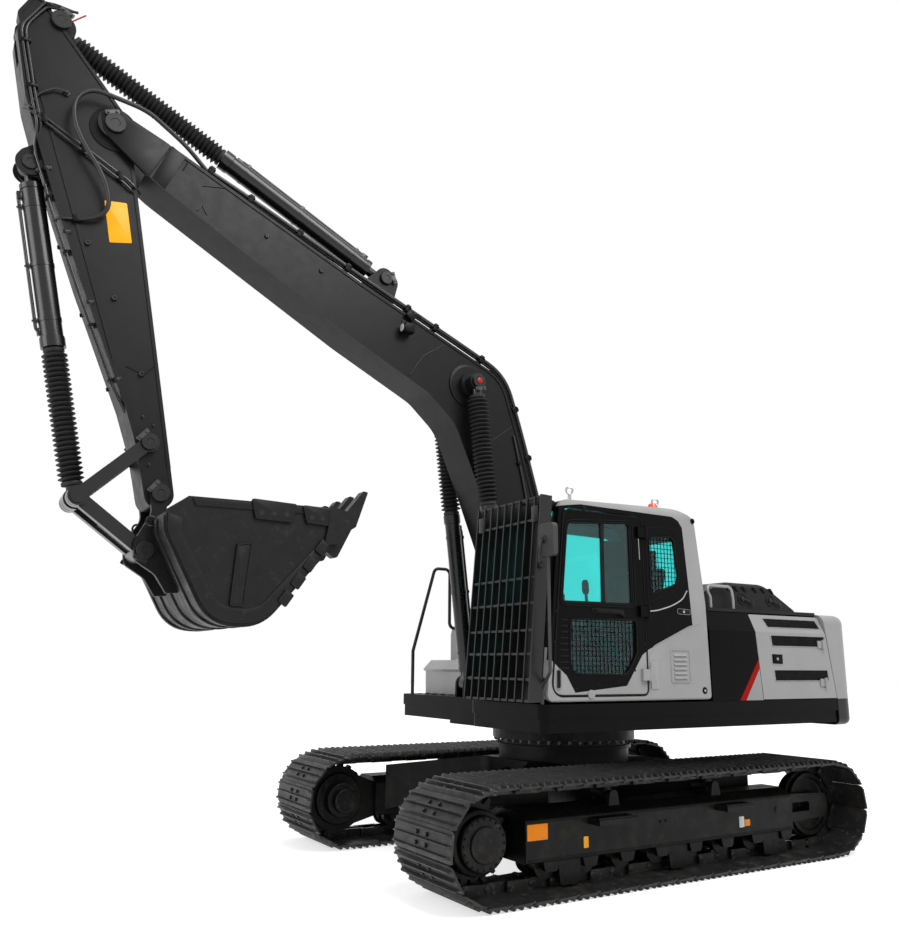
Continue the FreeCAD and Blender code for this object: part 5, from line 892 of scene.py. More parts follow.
def boom_details():
    paint, pins, plates, pipes, bolts = (Kit(BOOM) for _ in range(5))
    for y in (0.168, 0.124, -0.168, -0.124):
        line = [(0.12, y * 0.9, 0.4)] + [(u, y, v + 0.036) for u, v in TOP_LINE[:-2]] + [(5.04, y, 0.407)]
        pipes.pipe(line, 0.22, 0.017, 12, 7)
    for u in (0.75, 1.3, 1.72, 2.28, 2.8, 3.1, 3.72, 4.2, 4.66, 5.02):
        v, slope = height_at(TOP_LINE, u)
        for side in (1, -1):
            plates.place = BOOM @ Matrix.Translation((u, 0, v)) @ Matrix.Rotation(-slope, 4, "Y")
            bolts.place = plates.place
            y0, y1 = sorted((side * 0.1, side * 0.193))
            plates.box((-0.022, y0, -0.012), (0.022, y1, 0.062), 0.006)
            plates.box((-0.03, y0 - 0.004, 0.03), (0.03, y1 + 0.004, 0.042), 0.002)
            bolts.bolt((0, side * 0.146, 0.061), (0, 0, 1), 0.009, 0.01)
    plates.place = bolts.place = BOOM
    for side in (1, -1):
        y = side * BOOM_FACE
        for line in ([(4.76, 0.11), (5.018, 0.183), (4.86, 0.4)], [(5.08, 0.02), (5.18, 0.3)],
                [(2.66, 0.64), (2.7, 0.88), (2.64, 1.14)], [(1.64, 0.55), (1.68, 0.85), (1.62, 1.16)]):
            paint.tube([(u, side * 0.1885, v) for u, v in line], 0.0055, 6)
        band = [(5.1, -0.035), (5.225, -0.055), (5.345, 0.275), (5.215, 0.305)]
        paint.slab(band, y, side * 0.012, 0.003)
        cheek = [(5.24, -0.085, 0.03), (5.7, -0.122, 0.12), (5.83, -0.03, 0.12), (5.83, 0.05, 0.12), (5.7, 0.128, 0.1),
            (5.4, 0.245, 0.05), (5.345, 0.262, 0.02)]
        paint.slab(cheek, y, side * 0.0225, 0.004)
        keeper(pins, bolts, (5.7, side * 0.2215, 0.0), side, 0.08, -1.1)
        keeper(pins, bolts, (3.44, side * 0.0955, 1.18), side, 0.06, 0.6)
        keeper(pins, bolts, (2.204, side * 0.3775, 1.06), side, 0.062, 2.2)
        paint.slab(around((2.204, 1.06), 0.205, 40), y, side * 0.0145, 0.003)
        keeper(pins, bolts, (0.0, side * 0.261, 0.0), side, 0.066, 0.4)
        for u, v in ((0.55, 0.12), (1.15, 0.45), (4.35, 0.42), (3.85, 0.62)):
            pins.stud((u, y, v), side, [(0, 0.022), (0.014, 0.02), (0.017, 0.016), (0.017, 0.007), (0.008, 0.006)], 18)
        # side rails of the hose run down the back of the boom's foot
        pipes.pipe([(1.55, side * 0.199, 1.1), (1.1, side * 0.199, 0.8), (0.62, side * 0.199, 0.42),
            (0.42, side * 0.199, 0.2)], 0.2, 0.01, 10, 6)
        for u, v in ((1.33, 0.952), (0.86, 0.61)):
            y0, y1 = sorted((side * 0.185, side * 0.214))
            plates.box((u - 0.02, y0, v - 0.02), (u + 0.02, y1, v + 0.02), 0.004)
    red = Kit(BOOM)
    red.stud((2.204, 0.3905, 1.06), 1, [(0, 0.026), (0.006, 0.026), (0.009, 0.02)], 20)
    red.done("lift_pin_cap", "red", "boom")
    # work lamp on the near side and its junction box
    place = BOOM @ Matrix.Translation((2.982, 0.25, 0.899)) @ Matrix.Rotation(math.radians(42), 4, "Y")
    lamp, lens = Kit(place), Kit(place)
    lamp.box((-0.055, -0.045, -0.045), (0.045, 0.045, 0.045), 0.012)
    lamp.tube([(-0.02, -0.06, -0.02), (-0.02, -0.02, 0.0)], 0.012, 10)
    lamp.box((-0.045, -0.062, -0.05), (0.03, -0.052, 0.1), 0.003)
    lamp.lathe((0.045, 0, 0), (1, 0, 0), [(-0.01, 0.043), (0.01, 0.045), (0.014, 0.04)], 24)
    lens.lathe((0.058, 0, 0), (1, 0, 0), [(0, 0.037), (0.004, 0.034), (0.007, 0.02), (0.008, 0.004)], 24)
    all_done("boom", (lamp, "boom_work_lamp", "trim"), (lens, "boom_lamp_lens", "lens"))
    plates.box((3.00, BOOM_FACE, 1.00), (3.09, 0.236, 1.07), 0.006)
    pipes.pipe([(3.05, 0.215, 1.05), (3.03, 0.215, 1.1), (2.98, 0.19, 1.145)], 0.03, 0.006, 8, 4)
    all_done("boom", (paint, "boom_welds_and_plates", "boom"), (pins, "boom_pin_ends", "pin"),
        (plates, "boom_pipe_clamps", "trim"), (pipes, "boom_pipes", "pipe"), (bolts, "boom_bolts", "bolt"))


boom_details()


# Bucket: bands, side cutters, wear blocks, blank plaque.

BUCKET_FACE = 0.6
BUCKET_MIDDLE = Vector((0.6, 0.4))


def strip(a, b, half, start, stop):
    """The corners of a part of a straight strip from a to b, with a half width."""
    way = b - a
    side = Vector((-way.y, way.x)).normalized() * half
    a, b = a + way * start, a + way * stop
    return [tuple(a - side), tuple(b - side), tuple(b + side), tuple(a + side)]


def bucket_details():
    steel, wear, bolts, pins = (Kit(BUCKET) for _ in range(4))
    rim = [(-0.045, 0.2), (-0.05, 0.33, 0.15), (0.245, 0.972, 0.32), (0.62, 1.006, 0.32), (1.205, 0.405)]
    outer = fillet([(0.1, 0.09)] + rim + [(1.27, 0.22)], 6)
    for side in (1, -1):
        face = side * BUCKET_FACE
        low, high = sorted((face - side * 0.002, face + side * 0.012))
        back = outer[1:-1]
        inner = [p + (Vector((0.55, 0.42)) - p).normalized() * 0.105 for p in back]
        steel.prism([tuple(p) for p in back + inner[::-1]], low, high, 0.002)
        top = [(0.13, 0.086), (1.2, 0.15), (1.19, 0.198), (0.15, 0.146)]
        steel.prism(top, low, high, 0.002)
        plaque = [(0.447, 0.419, 0.015), (0.568, 0.403, 0.015), (0.494, 0.874, 0.015), (0.384, 0.863, 0.015)]
        steel.prism(plaque, low, high + side * 0.004 if side > 0 else high, 0.003)
        steel.rim(plaque, face, face + side * 0.022, 0.014)
        for corners in ([(0.557, 0.082, 0.02), (0.916, 0.118, 0.02), (0.875, 0.262, 0.03), (0.585, 0.235, 0.02)],
                [(0.957, 0.122, 0.02), (1.322, 0.16, 0.02), (1.245, 0.292, 0.03), (0.986, 0.262, 0.02)]):
            wear.slab(corners, face, side * 0.027, 0.005)
            (u0, v0), (u1, v1) = corners[3][:2], corners[2][:2]
            for k in range(3):
                t = (k + 0.5) / 3
                u, v = u0 + (u1 - u0) * t, (v0 + (v1 - v0) * t) * 0.5 + (0.1 + 0.035 * (u0 > 0.9)) * 0.5 + 0.02
                wear.stud((u, face + side * 0.0265, v), side, [(0, 0.03), (0.002, 0.03), (0.0022, 0.02)], 20)
                bolts.stud((u, face + side * 0.0268, v), side, [(0, 0.018), (0.0019, 0.018), (0.002, 0.006)], 6)
        a, b = Vector((1.15, 0.395)), Vector((0.75, 0.895))
        for k in range(4):
            start = k / 4 + 0.02
            corners = strip(a, b, 0.04, start, start + 0.17)
            wear.slab([(*p, 0.012) for p in corners], face, side * 0.028, 0.005)
            middle = a + (b - a) * (start + 0.085)
            wear.stud((middle.x, face + side * 0.0275, middle.y), side, [(0, 0.024), (0.0012, 0.024), (0.0013, 0.012)],
                18)
        keeper(pins, bolts, (-0.111, side * 0.2155, 0.423), side, 0.066, 0.5)
        pins.hoop((-0.075, side * 0.235, 0.215), (0, 1, 0), 0.036, 0.008)
    # wear strips over the rounded back
    shell = fillet([(-0.06, 0.215), (-0.06, 0.33, 0.15), (0.24, 0.985, 0.33), (0.62, 1.02, 0.33), (1.1, 0.53)], 8)
    for y in (-0.565, -0.34, 0.0, 0.34, 0.565):
        half = 0.03 if abs(y) < 0.5 else 0.022
        out = []
        for i, p in enumerate(shell):
            before, after = shell[max(i - 1, 0)], shell[min(i + 1, len(shell) - 1)]
            way = (after - before).normalized()
            normal = Vector((-way.y, way.x))
            if normal.dot(p - BUCKET_MIDDLE) < 0:
                normal = -normal
            out.append(p + normal * 0.011)
        inner = [p + (BUCKET_MIDDLE - p).normalized() * 0.008 for p in shell]
        steel.prism([tuple(p) for p in out + inner[::-1]], y - half, y + half, 0.002)
    all_done("bucket", (steel, "bucket_bands", "bucket"), (wear, "bucket_wear_parts", "bucket"),
        (bolts, "bucket_bolts", "pin"), (pins, "bucket_pin_ends", "pin"))


bucket_details()


# Cab: seals, wire screens, trim, lamps, eyes, guard flats. Outlines are (x, z) or (x, z, radius).

CAB_FACE = 1.365
CAB_SKIN = CAB_FACE - 0.001
UPPER = [(0.304, 2.11, 0.045), (1.065, 2.098, 0.05), (0.997, 2.753, 0.07), (0.31, 2.804, 0.06)]
LOWER = [(0.402, 1.545, 0.11), (0.995, 1.555, 0.11), (0.985, 1.989, 0.05), (0.276, 2.004, 0.05), (0.284, 1.72, 0.09)]
QUARTER = [(-0.235, 2.313, 0.11), (0.12, 2.201, 0.04), (0.12, 2.702, 0.05), (-0.18, 2.727, 0.07)]
LATCH_CUP = [(-0.335, 2.052, 0.03), (-0.175, 2.058, 0.03), (-0.175, 2.108, 0.03), (-0.335, 2.102, 0.03)]
LOUVRE_FACES = [(0, 1, 5, 4), (1, 2, 5), (2, 3, 4, 5), (3, 0, 4), (0, 3, 2, 1)]
DOOR_EDGE = [(0.18, 1.393, 0.052), (1.175, 1.393, 0.102), (1.028, 2.857, 0.072), (0.18, 2.857, 0.052)]


def crossings(flat, value, axis):
    """Where a closed outline crosses a line of constant x (axis 0) or z (axis 1)."""
    found = []
    for a, b in zip(flat, flat[1:] + flat[:1]):
        if (a[axis] - value) * (b[axis] - value) < 0:
            t = (value - a[axis]) / (b[axis] - a[axis])
            found.append(a[1 - axis] + t * (b[1 - axis] - a[1 - axis]))
    found.sort()
    return list(zip(found[::2], found[1::2]))


def screen(kit, corners, y, pitch=0.04, wire=0.0022):
    """A welded wire screen cut to a window."""
    flat = fillet(corners)
    for axis in (0, 1):
        low, high = min(p[axis] for p in flat), max(p[axis] for p in flat)
        count = int((high - low) / pitch)
        for i in range(1, count + 1):
            value = low + i * (high - low) / (count + 1)
            for a, b in crossings(flat, value, axis):
                if axis == 0:
                    kit.box((value - wire, y, a), (value + wire, y + 2 * wire, b))
                else:
                    kit.box((a, y + wire, value - wire), (b, y + 3 * wire, value + wire))


def guard_at(z):
    """The x of the leaning front guard at a height."""
    return 1.355 - 0.0912 * (z - 1.36)


def screw(kit, x, z, radius=0.009):
    kit.stud((x, CAB_SKIN, z), 1, [(0, radius), (0.003, radius), (0.005, radius * 0.7), (0.005, 0.002)], 14)


def cab_details():
    seals, inner = Kit(), Kit()
    for corners in (UPPER, LOWER):
        seals.rim(corners, CAB_FACE - 0.012, CAB_FACE + 0.004, 0.016, 4, 0.003)
    grown = [(0.288, 2.094, 0.06), (1.083, 2.082, 0.06), (1.013, 2.769, 0.085), (0.294, 2.82, 0.075)]
    inner.rim(grown, CAB_SKIN, CAB_FACE + 0.008, 0.01, 5, 0.002)
    inner.prism([(0.612, 2.105), (0.648, 2.105), (0.64, 2.78), (0.604, 2.78)], 1.344, 1.362, 0.003)
    inner.prism([(0.296, 2.118), (0.33, 2.118), (0.334, 2.78), (0.302, 2.78)], 1.344, 1.362, 0.003)
    inner.prism([(0.32, 2.105), (1.05, 2.098), (1.048, 2.124), (0.32, 2.13)], 1.344, 1.362, 0.003)
    inner.rim(DOOR_EDGE, CAB_SKIN, CAB_FACE + 0.005, 0.012, 5, 0.002)
    for k in range(9):
        z = 1.6 + k * 0.046
        inner.box((1.005, CAB_SKIN, z), (1.1 - 0.09 * (z - 1.6), CAB_FACE + 0.004, z + 0.01), 0.001)
    for x, z in ((1.115, 2.035), (0.205, 2.02), (1.135, 1.8), (0.205, 1.8), (1.155, 1.585), (0.32, 1.59), (0.93, 1.45),
            (0.5, 1.5), (0.7, 1.475)):
        screw(inner, x, z)
    inner.pipe([(0.73, 1.366, 2.058), (0.73, 1.392, 2.055), (0.5, 1.396, 2.046), (0.44, 1.392, 2.02),
        (0.44, 1.366, 2.015)], 0.03, 0.009, 10, 4)
    inner.prism([(0.42, 2.03, 0.02), (0.76, 2.04, 0.02), (0.76, 2.078, 0.02), (0.42, 2.072, 0.02)], CAB_SKIN,
        CAB_FACE + 0.006, 0.002)
    all_done("cab_door", (seals, "door_seals", "trim"), (inner, "door_frame_trim", "plastic"))
    shell = Kit()
    shell.rim(QUARTER, CAB_FACE - 0.012, CAB_FACE + 0.004, 0.016, 4, 0.003)
    outline = [(-0.2, 2.262, 0.1), (0.15, 2.14, 0.03), (0.15, 2.775, 0.04), (-0.185, 2.8, 0.08)]
    shell.rim(outline, CAB_SKIN, CAB_FACE + 0.003, 0.006, 5, 0.001)
    shell.stud((-0.417, CAB_SKIN, 2.877), 1, [(0, 0.026), (0.006, 0.024), (0.006, 0.016), (0.001, 0.014)], 22)
    shell.stud((0.815, CAB_SKIN, 2.872), 1, [(0, 0.022), (0.01, 0.02), (0.012, 0.014)], 22)
    for x, z in ((0.12, 1.9), (-0.05, 1.92), (0.1, 2.03)):
        screw(shell, x, z, 0.007)
    shell.stud((-0.462, CAB_SKIN, 1.425), 1, [(0, 0.03), (0.004, 0.028), (0.004, 0.018), (0.001, 0.016)], 20)
    shell.prism(LATCH_CUP, CAB_SKIN, CAB_FACE + 0.003, 0.001)
    shell.prism([(1.088, 1.455, 0.016), (1.124, 1.455, 0.016), (1.122, 1.588, 0.016), (1.086, 1.588, 0.016)], CAB_SKIN,
        CAB_FACE + 0.0015)
    shell.done("cab_black_trim", "trim", "house")
    grey = Kit()
    grey.rim(block(-0.075, 1.762, -0.302, 1.488, 0.02), CAB_SKIN, CAB_FACE + 0.006, 0.01, 4, 0.003)
    for k in range(6):
        z = 1.522 + k * 0.037
        grey.add([(-0.112, CAB_SKIN, z), (-0.265, CAB_SKIN, z), (-0.265, CAB_SKIN, z + 0.024),
            (-0.112, CAB_SKIN, z + 0.024), (-0.118, CAB_FACE + 0.012, z + 0.002),
            (-0.259, CAB_FACE + 0.012, z + 0.002)], LOUVRE_FACES)
    grey.rim([(1.08, 1.445, 0.02), (1.132, 1.445, 0.02), (1.13, 1.598, 0.02), (1.078, 1.598, 0.02)], CAB_SKIN,
        CAB_FACE + 0.008, 0.008, 4, 0.003)
    grey.stud((0.787, CAB_SKIN, 1.405), 1, [(0, 0.036), (0.01, 0.034), (0.013, 0.026)], 24)
    grey.prism(block(0.07, 1.44, 0.152, 1.67, 0.02), CAB_SKIN, CAB_FACE + 0.007, 0.003)
    seam = [(-0.45, 1.985), (-0.3, 1.952), (0.1, 1.788), (0.16, 1.7), (0.16, 1.4)]
    grey.tube([(x, CAB_FACE, z) for x, z in seam], 0.004, 6)
    grey.done("cab_grey_trim", "grey", "house")
    silver = Kit()
    silver.pipe([(0.155, 1.3665, 2.07), (0.05, 1.3665, 2.08), (-0.12, 1.3665, 2.125), (-0.25, 1.3665, 2.185),
        (-0.305, 1.3665, 2.262)], 0.08, 0.006, 8, 6)
    silver.rim(LATCH_CUP, CAB_SKIN, CAB_FACE + 0.006, 0.006, 4, 0.002)
    silver.prism([(0.252, 2.49, 0.002), (0.258, 2.49, 0.002), (0.264, 2.665, 0.002), (0.258, 2.665, 0.002)],
        CAB_FACE + 0.026, CAB_FACE + 0.033)
    silver.stud((-0.255, CAB_SKIN, 2.08), 1, [(0, 0.012), (0.008, 0.012), (0.009, 0.006)], 14)
    silver.stud((-0.462, CAB_SKIN, 1.425), 1, [(0, 0.011), (0.007, 0.01), (0.008, 0.004)], 14)
    for x, y, z in ((0.837, 1.215, 2.966), (-0.125, 1.215, 2.964)):
        silver.lathe((x, y, z - 0.02), (0, 0, 1), [(0, 0.016), (0.065, 0.014), (0.075, 0.01)], 14)
        silver.hoop((x, y, z + 0.08), (0.5, 1, 0), 0.027, 0.0085)
    silver.done("cab_bright_trim", "silver", "house")
    lamp = Kit()
    lamp.lathe((-0.065, 1.245, 2.945), (0, 0, 1), [(0, 0.05), (0.02, 0.05), (0.022, 0.046), (0.055, 0.042),
        (0.072, 0.03), (0.078, 0.01)], 24)
    lamp.done("roof_beacon", "beacon", "house")
    for name, body, window in (("door_wire_screen", "cab_door", LOWER), ("quarter_wire_screen", "house", QUARTER)):
        wires = Kit()
        screen(wires, window, 1.3525)
        wires.done(name, "mesh", body)
    # front lamps on the roof's corners, the guard's flats and the wiper
    lamps, lenses = Kit(), Kit()
    for y in (0.5, 1.27):
        for kit, x0, x1, r in ((lamps, 1.075, 1.15, 0.052), (lenses, 1.148, 1.158, 0.044)):
            kit.lathe((x0, y, 2.885), (1, 0, 0), [(0, r * 0.7), (0.01, r), (x1 - x0 - 0.004, r), (x1 - x0, r * 0.92)],
                24)
        lamps.box((1.05, y - 0.02, 2.88), (1.1, y + 0.02, 2.925), 0.004)
    all_done("house", (lamps, "cab_front_lamps", "trim"), (lenses, "cab_lamp_lenses", "lens"))
    flats = Kit()
    for i in range(10):
        y = 0.425 + 0.928 * i / 9
        z0, z1 = 1.352, 2.948
        flats.prism([(guard_at(z0) - 0.082, z0), (guard_at(z0) + 0.012, z0), (guard_at(z1) + 0.012, z1),
            (guard_at(z1) - 0.082, z1)], y - 0.0045, y + 0.0045)
    for y in (0.5, 1.27):
        flats.box((guard_at(2.8) - 0.01, y - 0.045, 2.74), (guard_at(2.8) + 0.02, y + 0.045, 2.87), 0.008)
    flats.pipe([(1.1, 1.02, 2.9), (1.22, 1.08, 2.93), (1.2, 1.25, 2.9), (1.09, 1.3, 2.86)], 0.05, 0.009, 8, 4)
    flats.done("guard_flats", "guard", "house")
    blade = Kit()
    blade.pipe([(1.205, 0.75, 2.05), (1.188, 0.8, 2.3), (1.165, 0.82, 2.62)], 0.05, 0.009, 8)
    blade.box((1.18, 0.715, 2.01), (1.215, 0.785, 2.07), 0.008)
    blade.done("wiper", "trim", "house")
    # the mirror's ball joint and stay
    ball = Kit()
    ball.lathe((1.283, 1.445, 2.575), (1, 0, 0), [(0, 0.034), (0.008, 0.032), (0.012, 0.02), (0.022, 0.02),
        (0.03, 0.012)], 20)
    ball.pipe([(1.305, 1.445, 2.575), (1.312, 1.435, 2.5), (1.3, 1.405, 2.43), (1.27, 1.37, 2.39)], 0.04, 0.011)
    ball.stud((1.255, 1.34, 2.385), 1, [(0, 0.026), (0.05, 0.026), (0.055, 0.02)], 18)
    ball.done("mirror_joint", "pin", "house")
    # inside: levers and their boots, linings of the far wall, safety lever
    inside = Kit()
    for y in (0.62, 1.18):
        inside.pipe([(0.62, y, 2.02), (0.66, y, 2.14), (0.665, y, 2.24)], 0.05, 0.013)
        inside.lathe((0.665, y, 2.2), (0.05, 0, 1), [(0, 0.022), (0.03, 0.03), (0.09, 0.028), (0.115, 0.018)], 16)
        inside.lathe((0.615, y, 1.93), (0.1, 0, 1), [(0, 0.06), (0.02, 0.052), (0.03, 0.056), (0.05, 0.044),
            (0.06, 0.046), (0.09, 0.026)], 18)
    inside.pipe([(1.02, 1.18, 1.42), (1.02, 1.18, 1.95), (0.93, 1.18, 2.32)], 0.12, 0.014)
    inside.pipe([(1.02, 1.22, 1.42), (1.05, 1.22, 2.0), (0.97, 1.24, 2.4)], 0.12, 0.014)
    inside.prism([(-0.155, 1.45), (-0.155, 2.79), (-0.42, 2.79), (-0.42, 1.45)], 0.455, 0.47, 0.004)
    inside.prism([(1.06, 1.45, 0.05), (0.4, 1.45, 0.05), (0.4, 2.02, 0.05), (1.02, 2.02, 0.05)], 0.455, 0.466, 0.004)
    inside.done("cab_levers", "plastic", "house")
    lever = Kit()
    lever.tube([(0.95, 1.2, 1.8), (0.72, 1.22, 1.83)], 0.01, 8)
    lever.lathe((0.55, 1.24, 1.86), (0, 0.2, 1), [(0, 0.018), (0.03, 0.028), (0.05, 0.018)], 14)
    lever.done("safety_lever", "red", "house")


cab_details()

# House and track frames: slots, catches, deck fittings, tread plates, bolts.

PANEL_FACE = 1.37
PAD_TOP = 0.5105
FRAME_FACE, PAD_EDGE = 1.405, 1.53
TUMBLER = (1.825, 0.41)


def vent(rims, dark, corners, slats, place):
    """A slanted slot: a pressed rim round dark slats, over a flat near-black sheet that is painted shade of the
    opening.
    """
    y = PANEL_FACE
    rims.place = dark.place = place
    rounded = [(x, z, 0.018) for x, z in corners]
    rims.rim(rounded, y - 0.001, y + 0.0055, 0.012, 4, 0.004)
    inner = [tuple(p) for p in offset(fillet(rounded), 0.01)]
    # the flat near-black sheet inside the rim: painted shade of the slot's opening
    dark.prism(inner, y - 0.001, y + 0.0008)
    top, low = max(z for _, z in corners), min(z for _, z in corners)
    flat = [Vector(p) for p in inner]
    for k in range(slats):
        z = low + (top - low) * (k + 0.75) / (slats + 0.5)
        for a, b in crossings(flat, z, 1):
            dark.add([(a + 0.002, y, z - 0.006), (b - 0.002, y, z - 0.006), (b - 0.002, y, z + 0.006),
                (a + 0.002, y, z + 0.006), (a + 0.003, y + 0.004, z - 0.004), (b - 0.003, y + 0.004, z - 0.004)],
                LOUVRE_FACES)


def house_details():
    slant = math.atan2(0.062, 0.165)
    fold = Matrix.Translation((0, PANEL_FACE, 1.935))
    for side, label in SIDES:
        body = "left_rear_door" if side > 0 else "right_pump_door"
        mirror = MACHINE if side > 0 else MACHINE @ Matrix.Scale(-1, 4, (0, 1, 0))
        lean = mirror @ fold @ Matrix.Rotation(slant, 4, "X") @ fold.inverted()
        rims, dark = Kit(), Kit()
        vent(rims, dark, [(-1.276, 2.075), (-2.035, 2.075), (-2.075, 1.975), (-1.318, 1.975)], 4, lean)
        vent(rims, dark, [(-1.325, 1.915), (-2.095, 1.915), (-2.102, 1.805), (-1.342, 1.805)], 5, mirror)
        vent(rims, dark, [(-1.344, 1.606), (-2.112, 1.606), (-2.12, 1.496), (-1.356, 1.496)], 5, mirror)
        vent(rims, dark, [(-1.322, 1.75), (-1.49, 1.746), (-1.488, 1.64), (-1.328, 1.645)], 0, mirror)
        rims.place = mirror
        # near-black patch in the small recess: painted shade
        dark.prism([(-1.352, 1.728, 0.01), (-1.462, 1.724, 0.01), (-1.462, 1.662, 0.01), (-1.352, 1.665, 0.01)],
            PANEL_FACE, 1.376, 0.002)
        rims.stud((-1.405, 1.3755, 1.697), 1, [(0, 0.014), (0.004, 0.013), (0.005, 0.006)], 14)
        all_done(body, (rims, f"{label}_door_slot_rims", "grey"), (dark, f"{label}_door_slots", "slot_shade"))
    hood, bright, dark = Kit(), Kit(), Kit()
    # slots on the hood's side: flat near-black patches, painted shade of the openings
    for x in (-0.985, -1.095, -1.205, -1.35, -1.465, -1.58):
        dark.prism([(x + 0.03, 2.352, 0.008), (x + 0.002, 2.352, 0.008), (x - 0.04, 2.302, 0.008),
            (x - 0.012, 2.302, 0.008)], 1.19, 1.2125)
    for x in (-1.168, -1.547):
        hood.place = bright.place = MACHINE @ Matrix.Translation((x, 1.2165, 2.236)) @ Matrix.Rotation(0.133, 4, "X")
        hood.stud((0, -0.004, 0), 1, [(0, 0.058), (0.01, 0.056), (0.013, 0.048), (0.006, 0.044)], 28)
        bright.stud((0, 0.003, 0), 1, [(0, 0.024), (0.01, 0.022), (0.012, 0.012)], 18)
        bright.pipe([(0.0, 0.01, 0.0), (-0.06, 0.026, -0.02), (-0.105, 0.022, -0.045)], 0.03, 0.007, 8)
        bright.tube([(-0.105, 0.022, -0.045 - 0.03), (-0.105, 0.022, -0.015)], 0.009, 8)
    hood.place = MACHINE
    for x in (-0.72, -0.8, -0.88, -1.7, -1.8):
        hood.lathe((x, 1.26, 2.135), (0, 0, 1), [(0, 0.012), (0.006, 0.011), (0.008, 0.006)], 12)
    for k in range(8):
        x = -1.17 - k * 0.075
        hood.box((x - 0.03, -0.95, 2.1355), (x, 0.1, 2.1405), 0.0015)
    all_done("engine_hood", (hood, "hood_catch_plates", "hood"), (dark, "hood_slots", "slot_shade"),
        (bright, "hood_catches", "pin"))
    # grip rings, filler caps and lifting eyes on the deck
    deck = Kit()
    for k in range(5):
        for j in range(4):
            x, y = 0.52 + k * 0.09, -1.2 + j * 0.15
            deck.hoop((x, y, 1.3375), (0, 0, 1), 0.022, 0.0035, 14, 6)
    for place, wide in (((-0.72, -0.82, 2.098), 0.075), ((-0.05, -0.95, 2.094), 0.065)):
        deck.lathe(place, (0, 0, 1), [(0, wide), (0.012, wide), (0.018, wide - 0.009), (0.045, wide - 0.011),
            (0.052, wide - 0.021)], 28)
    for y in (-0.62, 0.62):
        deck.pipe([(-2.52, y - 0.05, 2.1), (-2.52, y - 0.05, 2.16), (-2.52, y + 0.05, 2.16), (-2.52, y + 0.05, 2.1)],
            0.03, 0.014, 12)
    deck.done("deck_fittings", "dark", "house")
    ring = Kit()
    for x, y in around((0, 0), 0.636, 44):
        ring.bolt((x, y, 0.9755), (0, 0, -1), 0.015, 0.024)
    ring.done("slewing_ring_bolts", "bolt", "house")
    # three slots on the toolbox: thin near-black strips, painted shade of the openings
    box = Kit()
    for k in range(3):
        box.box((0.733, -1.12 + k * 0.05, 1.43), (0.7345, -1.09 + k * 0.05, 1.5), 0.0)
    box.done("toolbox_slots", "slot_shade", "house")
    for side, label in SIDES:
        steps = Kit()
        y0, y1 = sorted((side * FRAME_FACE, side * PAD_EDGE))
        for x0, wide in ((-0.78, 0.31), (0.5, 0.38)):
            for k in range(int(wide / 0.036)):
                x = x0 + 0.012 + k * 0.036
                steps.box((x, y0, PAD_TOP - 0.001), (x + 0.01, y1, PAD_TOP + 0.01), 0.002)
            steps.tube([(x0, side * 1.525, PAD_TOP + 0.006), (x0 + wide, side * 1.525, PAD_TOP + 0.006)], 0.008, 8)
        steps.tube([(-1.4, side * 1.4055, 0.262), (1.44, side * 1.4055, 0.262)], 0.006, 6)
        steps.tube([(-1.4, side * 1.4035, 0.517), (1.44, side * 1.4035, 0.517)], 0.005, 6)
        steps.tube([(1.455, side * 1.404, 0.25), (1.455, side * 1.404, 0.52)], 0.006, 6)
        steps.stud((-1.22, side * 1.404, 0.42), side, [(0, 0.03), (0.006, 0.03), (0.008, 0.024)], 18)
        for x in (0.09, 0.15):
            steps.bolt((x, side * FRAME_FACE, 0.43), (0, side, 0), 0.01, 0.008)
        for x, z in around(TUMBLER, 0.168, 20):
            steps.bolt((x, side * 1.4295, z), (0, side, 0), 0.008, 0.008)
        for k in range(3):
            a = 2 * math.pi * k / 3 + 0.5
            steps.stud((TUMBLER[0] + 0.075 * math.cos(a), side * 1.4495, TUMBLER[1] + 0.075 * math.sin(a)), side,
                [(-0.004, 0.016), (0.0005, 0.016), (0.0008, 0.008)], 8)
        steps.done(f"{label}_track_frame_fittings", "frame", "undercarriage")
        for look, low, high in (("orange", (1.262, 0.395), (1.445, 0.505)), ("yellow", (0.885, 0.305), (0.93, 0.385)),
                ("white", (-0.8, 0.312), (-0.74, 0.398)), ("orange", (-0.87, 0.318), (-0.806, 0.37))):
            plate = Kit()
            plate.prism(block(*low, *high, 0.008), *sorted((side * 1.4045, side * 1.4075)), 0.0006)
            plate.done(f"{label}_blank_plate_{look}_{int(abs(low[0]) * 1000)}", look, "undercarriage")


house_details()


# Stage

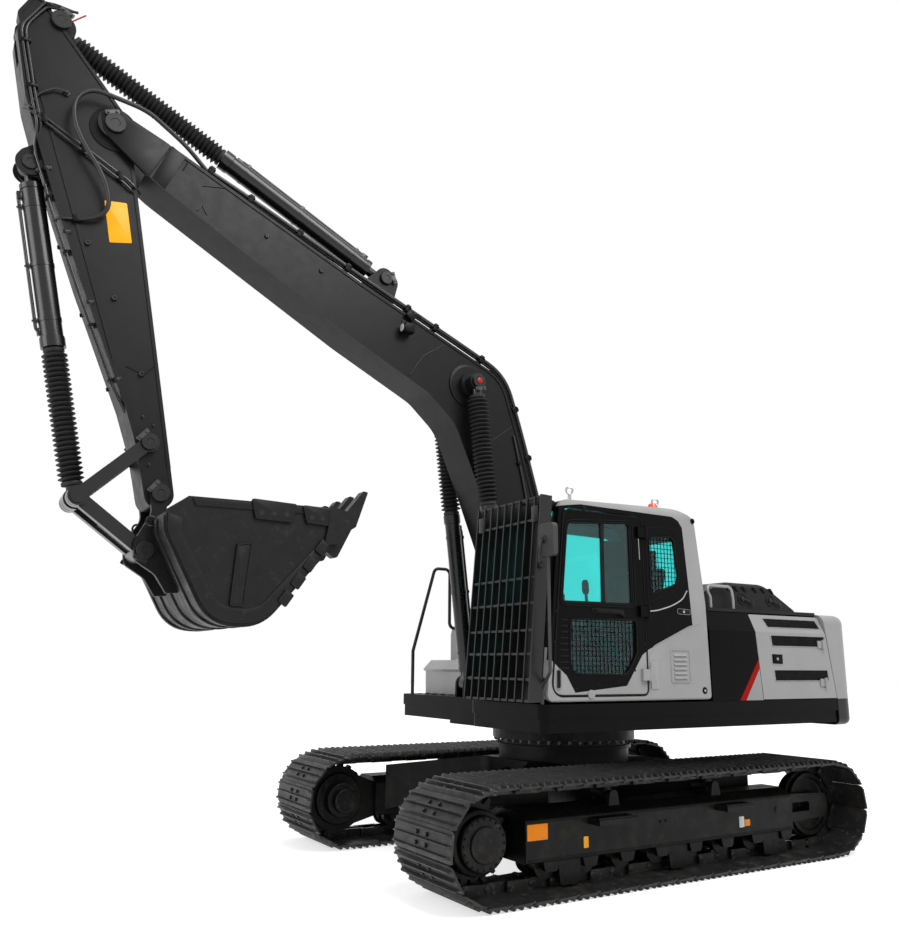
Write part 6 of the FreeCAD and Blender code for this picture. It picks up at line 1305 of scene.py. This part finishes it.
def area(name, place, target, size, power):
    light = bpy.data.lights.new(name, "AREA")
    light.energy = power
    light.size = size
    lamp = shown(name, light)
    lamp.location = place
    way = Vector(target) - Vector(place)
    lamp.rotation_euler = way.to_track_quat("-Z", "Y").to_euler()


def seen_by(tree, *kinds):
    """1 where a ray is one of these kinds."""
    path = tree.nodes.new("ShaderNodeLightPath")
    total = path.outputs[kinds[0]]
    for kind in kinds[1:]:
        join = tree.nodes.new("ShaderNodeMath")
        join.operation = "MAXIMUM"
        tree.links.new(total, join.inputs[0])
        tree.links.new(path.outputs[kind], join.inputs[1])
        total = join.outputs[0]
    return total


# The floor's glow and the world's strength on the object; camera rays see white.
GLOW = 0.62
WHITE_RAYS = ("Is Camera Ray", "Is Glossy Ray", "Is Transmission Ray")


def stage():
    mesh = bpy.data.meshes.new("floor")
    half = 60
    mesh.from_pydata([(-half, -half, 0), (half, -half, 0), (half, half, 0), (-half, half, 0)], [], [(0, 1, 2, 3)])
    floor = shown("floor", mesh)
    look = plain("floor", 228, (0.7, 0.8), 0.4, 0.01, bump=(40, 0.02))
    tree = look.node_tree
    bsdf = tree.nodes["Principled BSDF"]
    glow = tree.nodes.new("ShaderNodeMath")
    glow.operation = "MULTIPLY"
    tree.links.new(seen_by(tree, *WHITE_RAYS), glow.inputs[0])
    glow.inputs[1].default_value = GLOW
    bsdf.inputs["Emission Color"].default_value = (1, 1, 1, 1)
    tree.links.new(glow.outputs[0], bsdf.inputs["Emission Strength"])
    floor.data.materials.append(look)
    world = bpy.data.worlds.new("world")
    world.use_nodes = True
    bpy.context.scene.world = world
    tree = world.node_tree
    strength = tree.nodes.new("ShaderNodeMapRange")
    tree.links.new(seen_by(tree, *WHITE_RAYS), strength.inputs["Value"])
    strength.inputs["To Min"].default_value = GLOW
    strength.inputs["To Max"].default_value = 1.0
    background = tree.nodes["Background"]
    background.inputs["Color"].default_value = (1, 1, 1, 1)
    tree.links.new(strength.outputs[0], background.inputs["Strength"])
    area("key", (-1.0, 7.0, 11.0), (-0.8, 0, 2.0), 6, 900)
    area("front", (9.5, 1.0, 5.0), (0, 0, 2.0), 4, 200)


stage()
bpy.context.scene.view_settings.view_transform = "Standard"
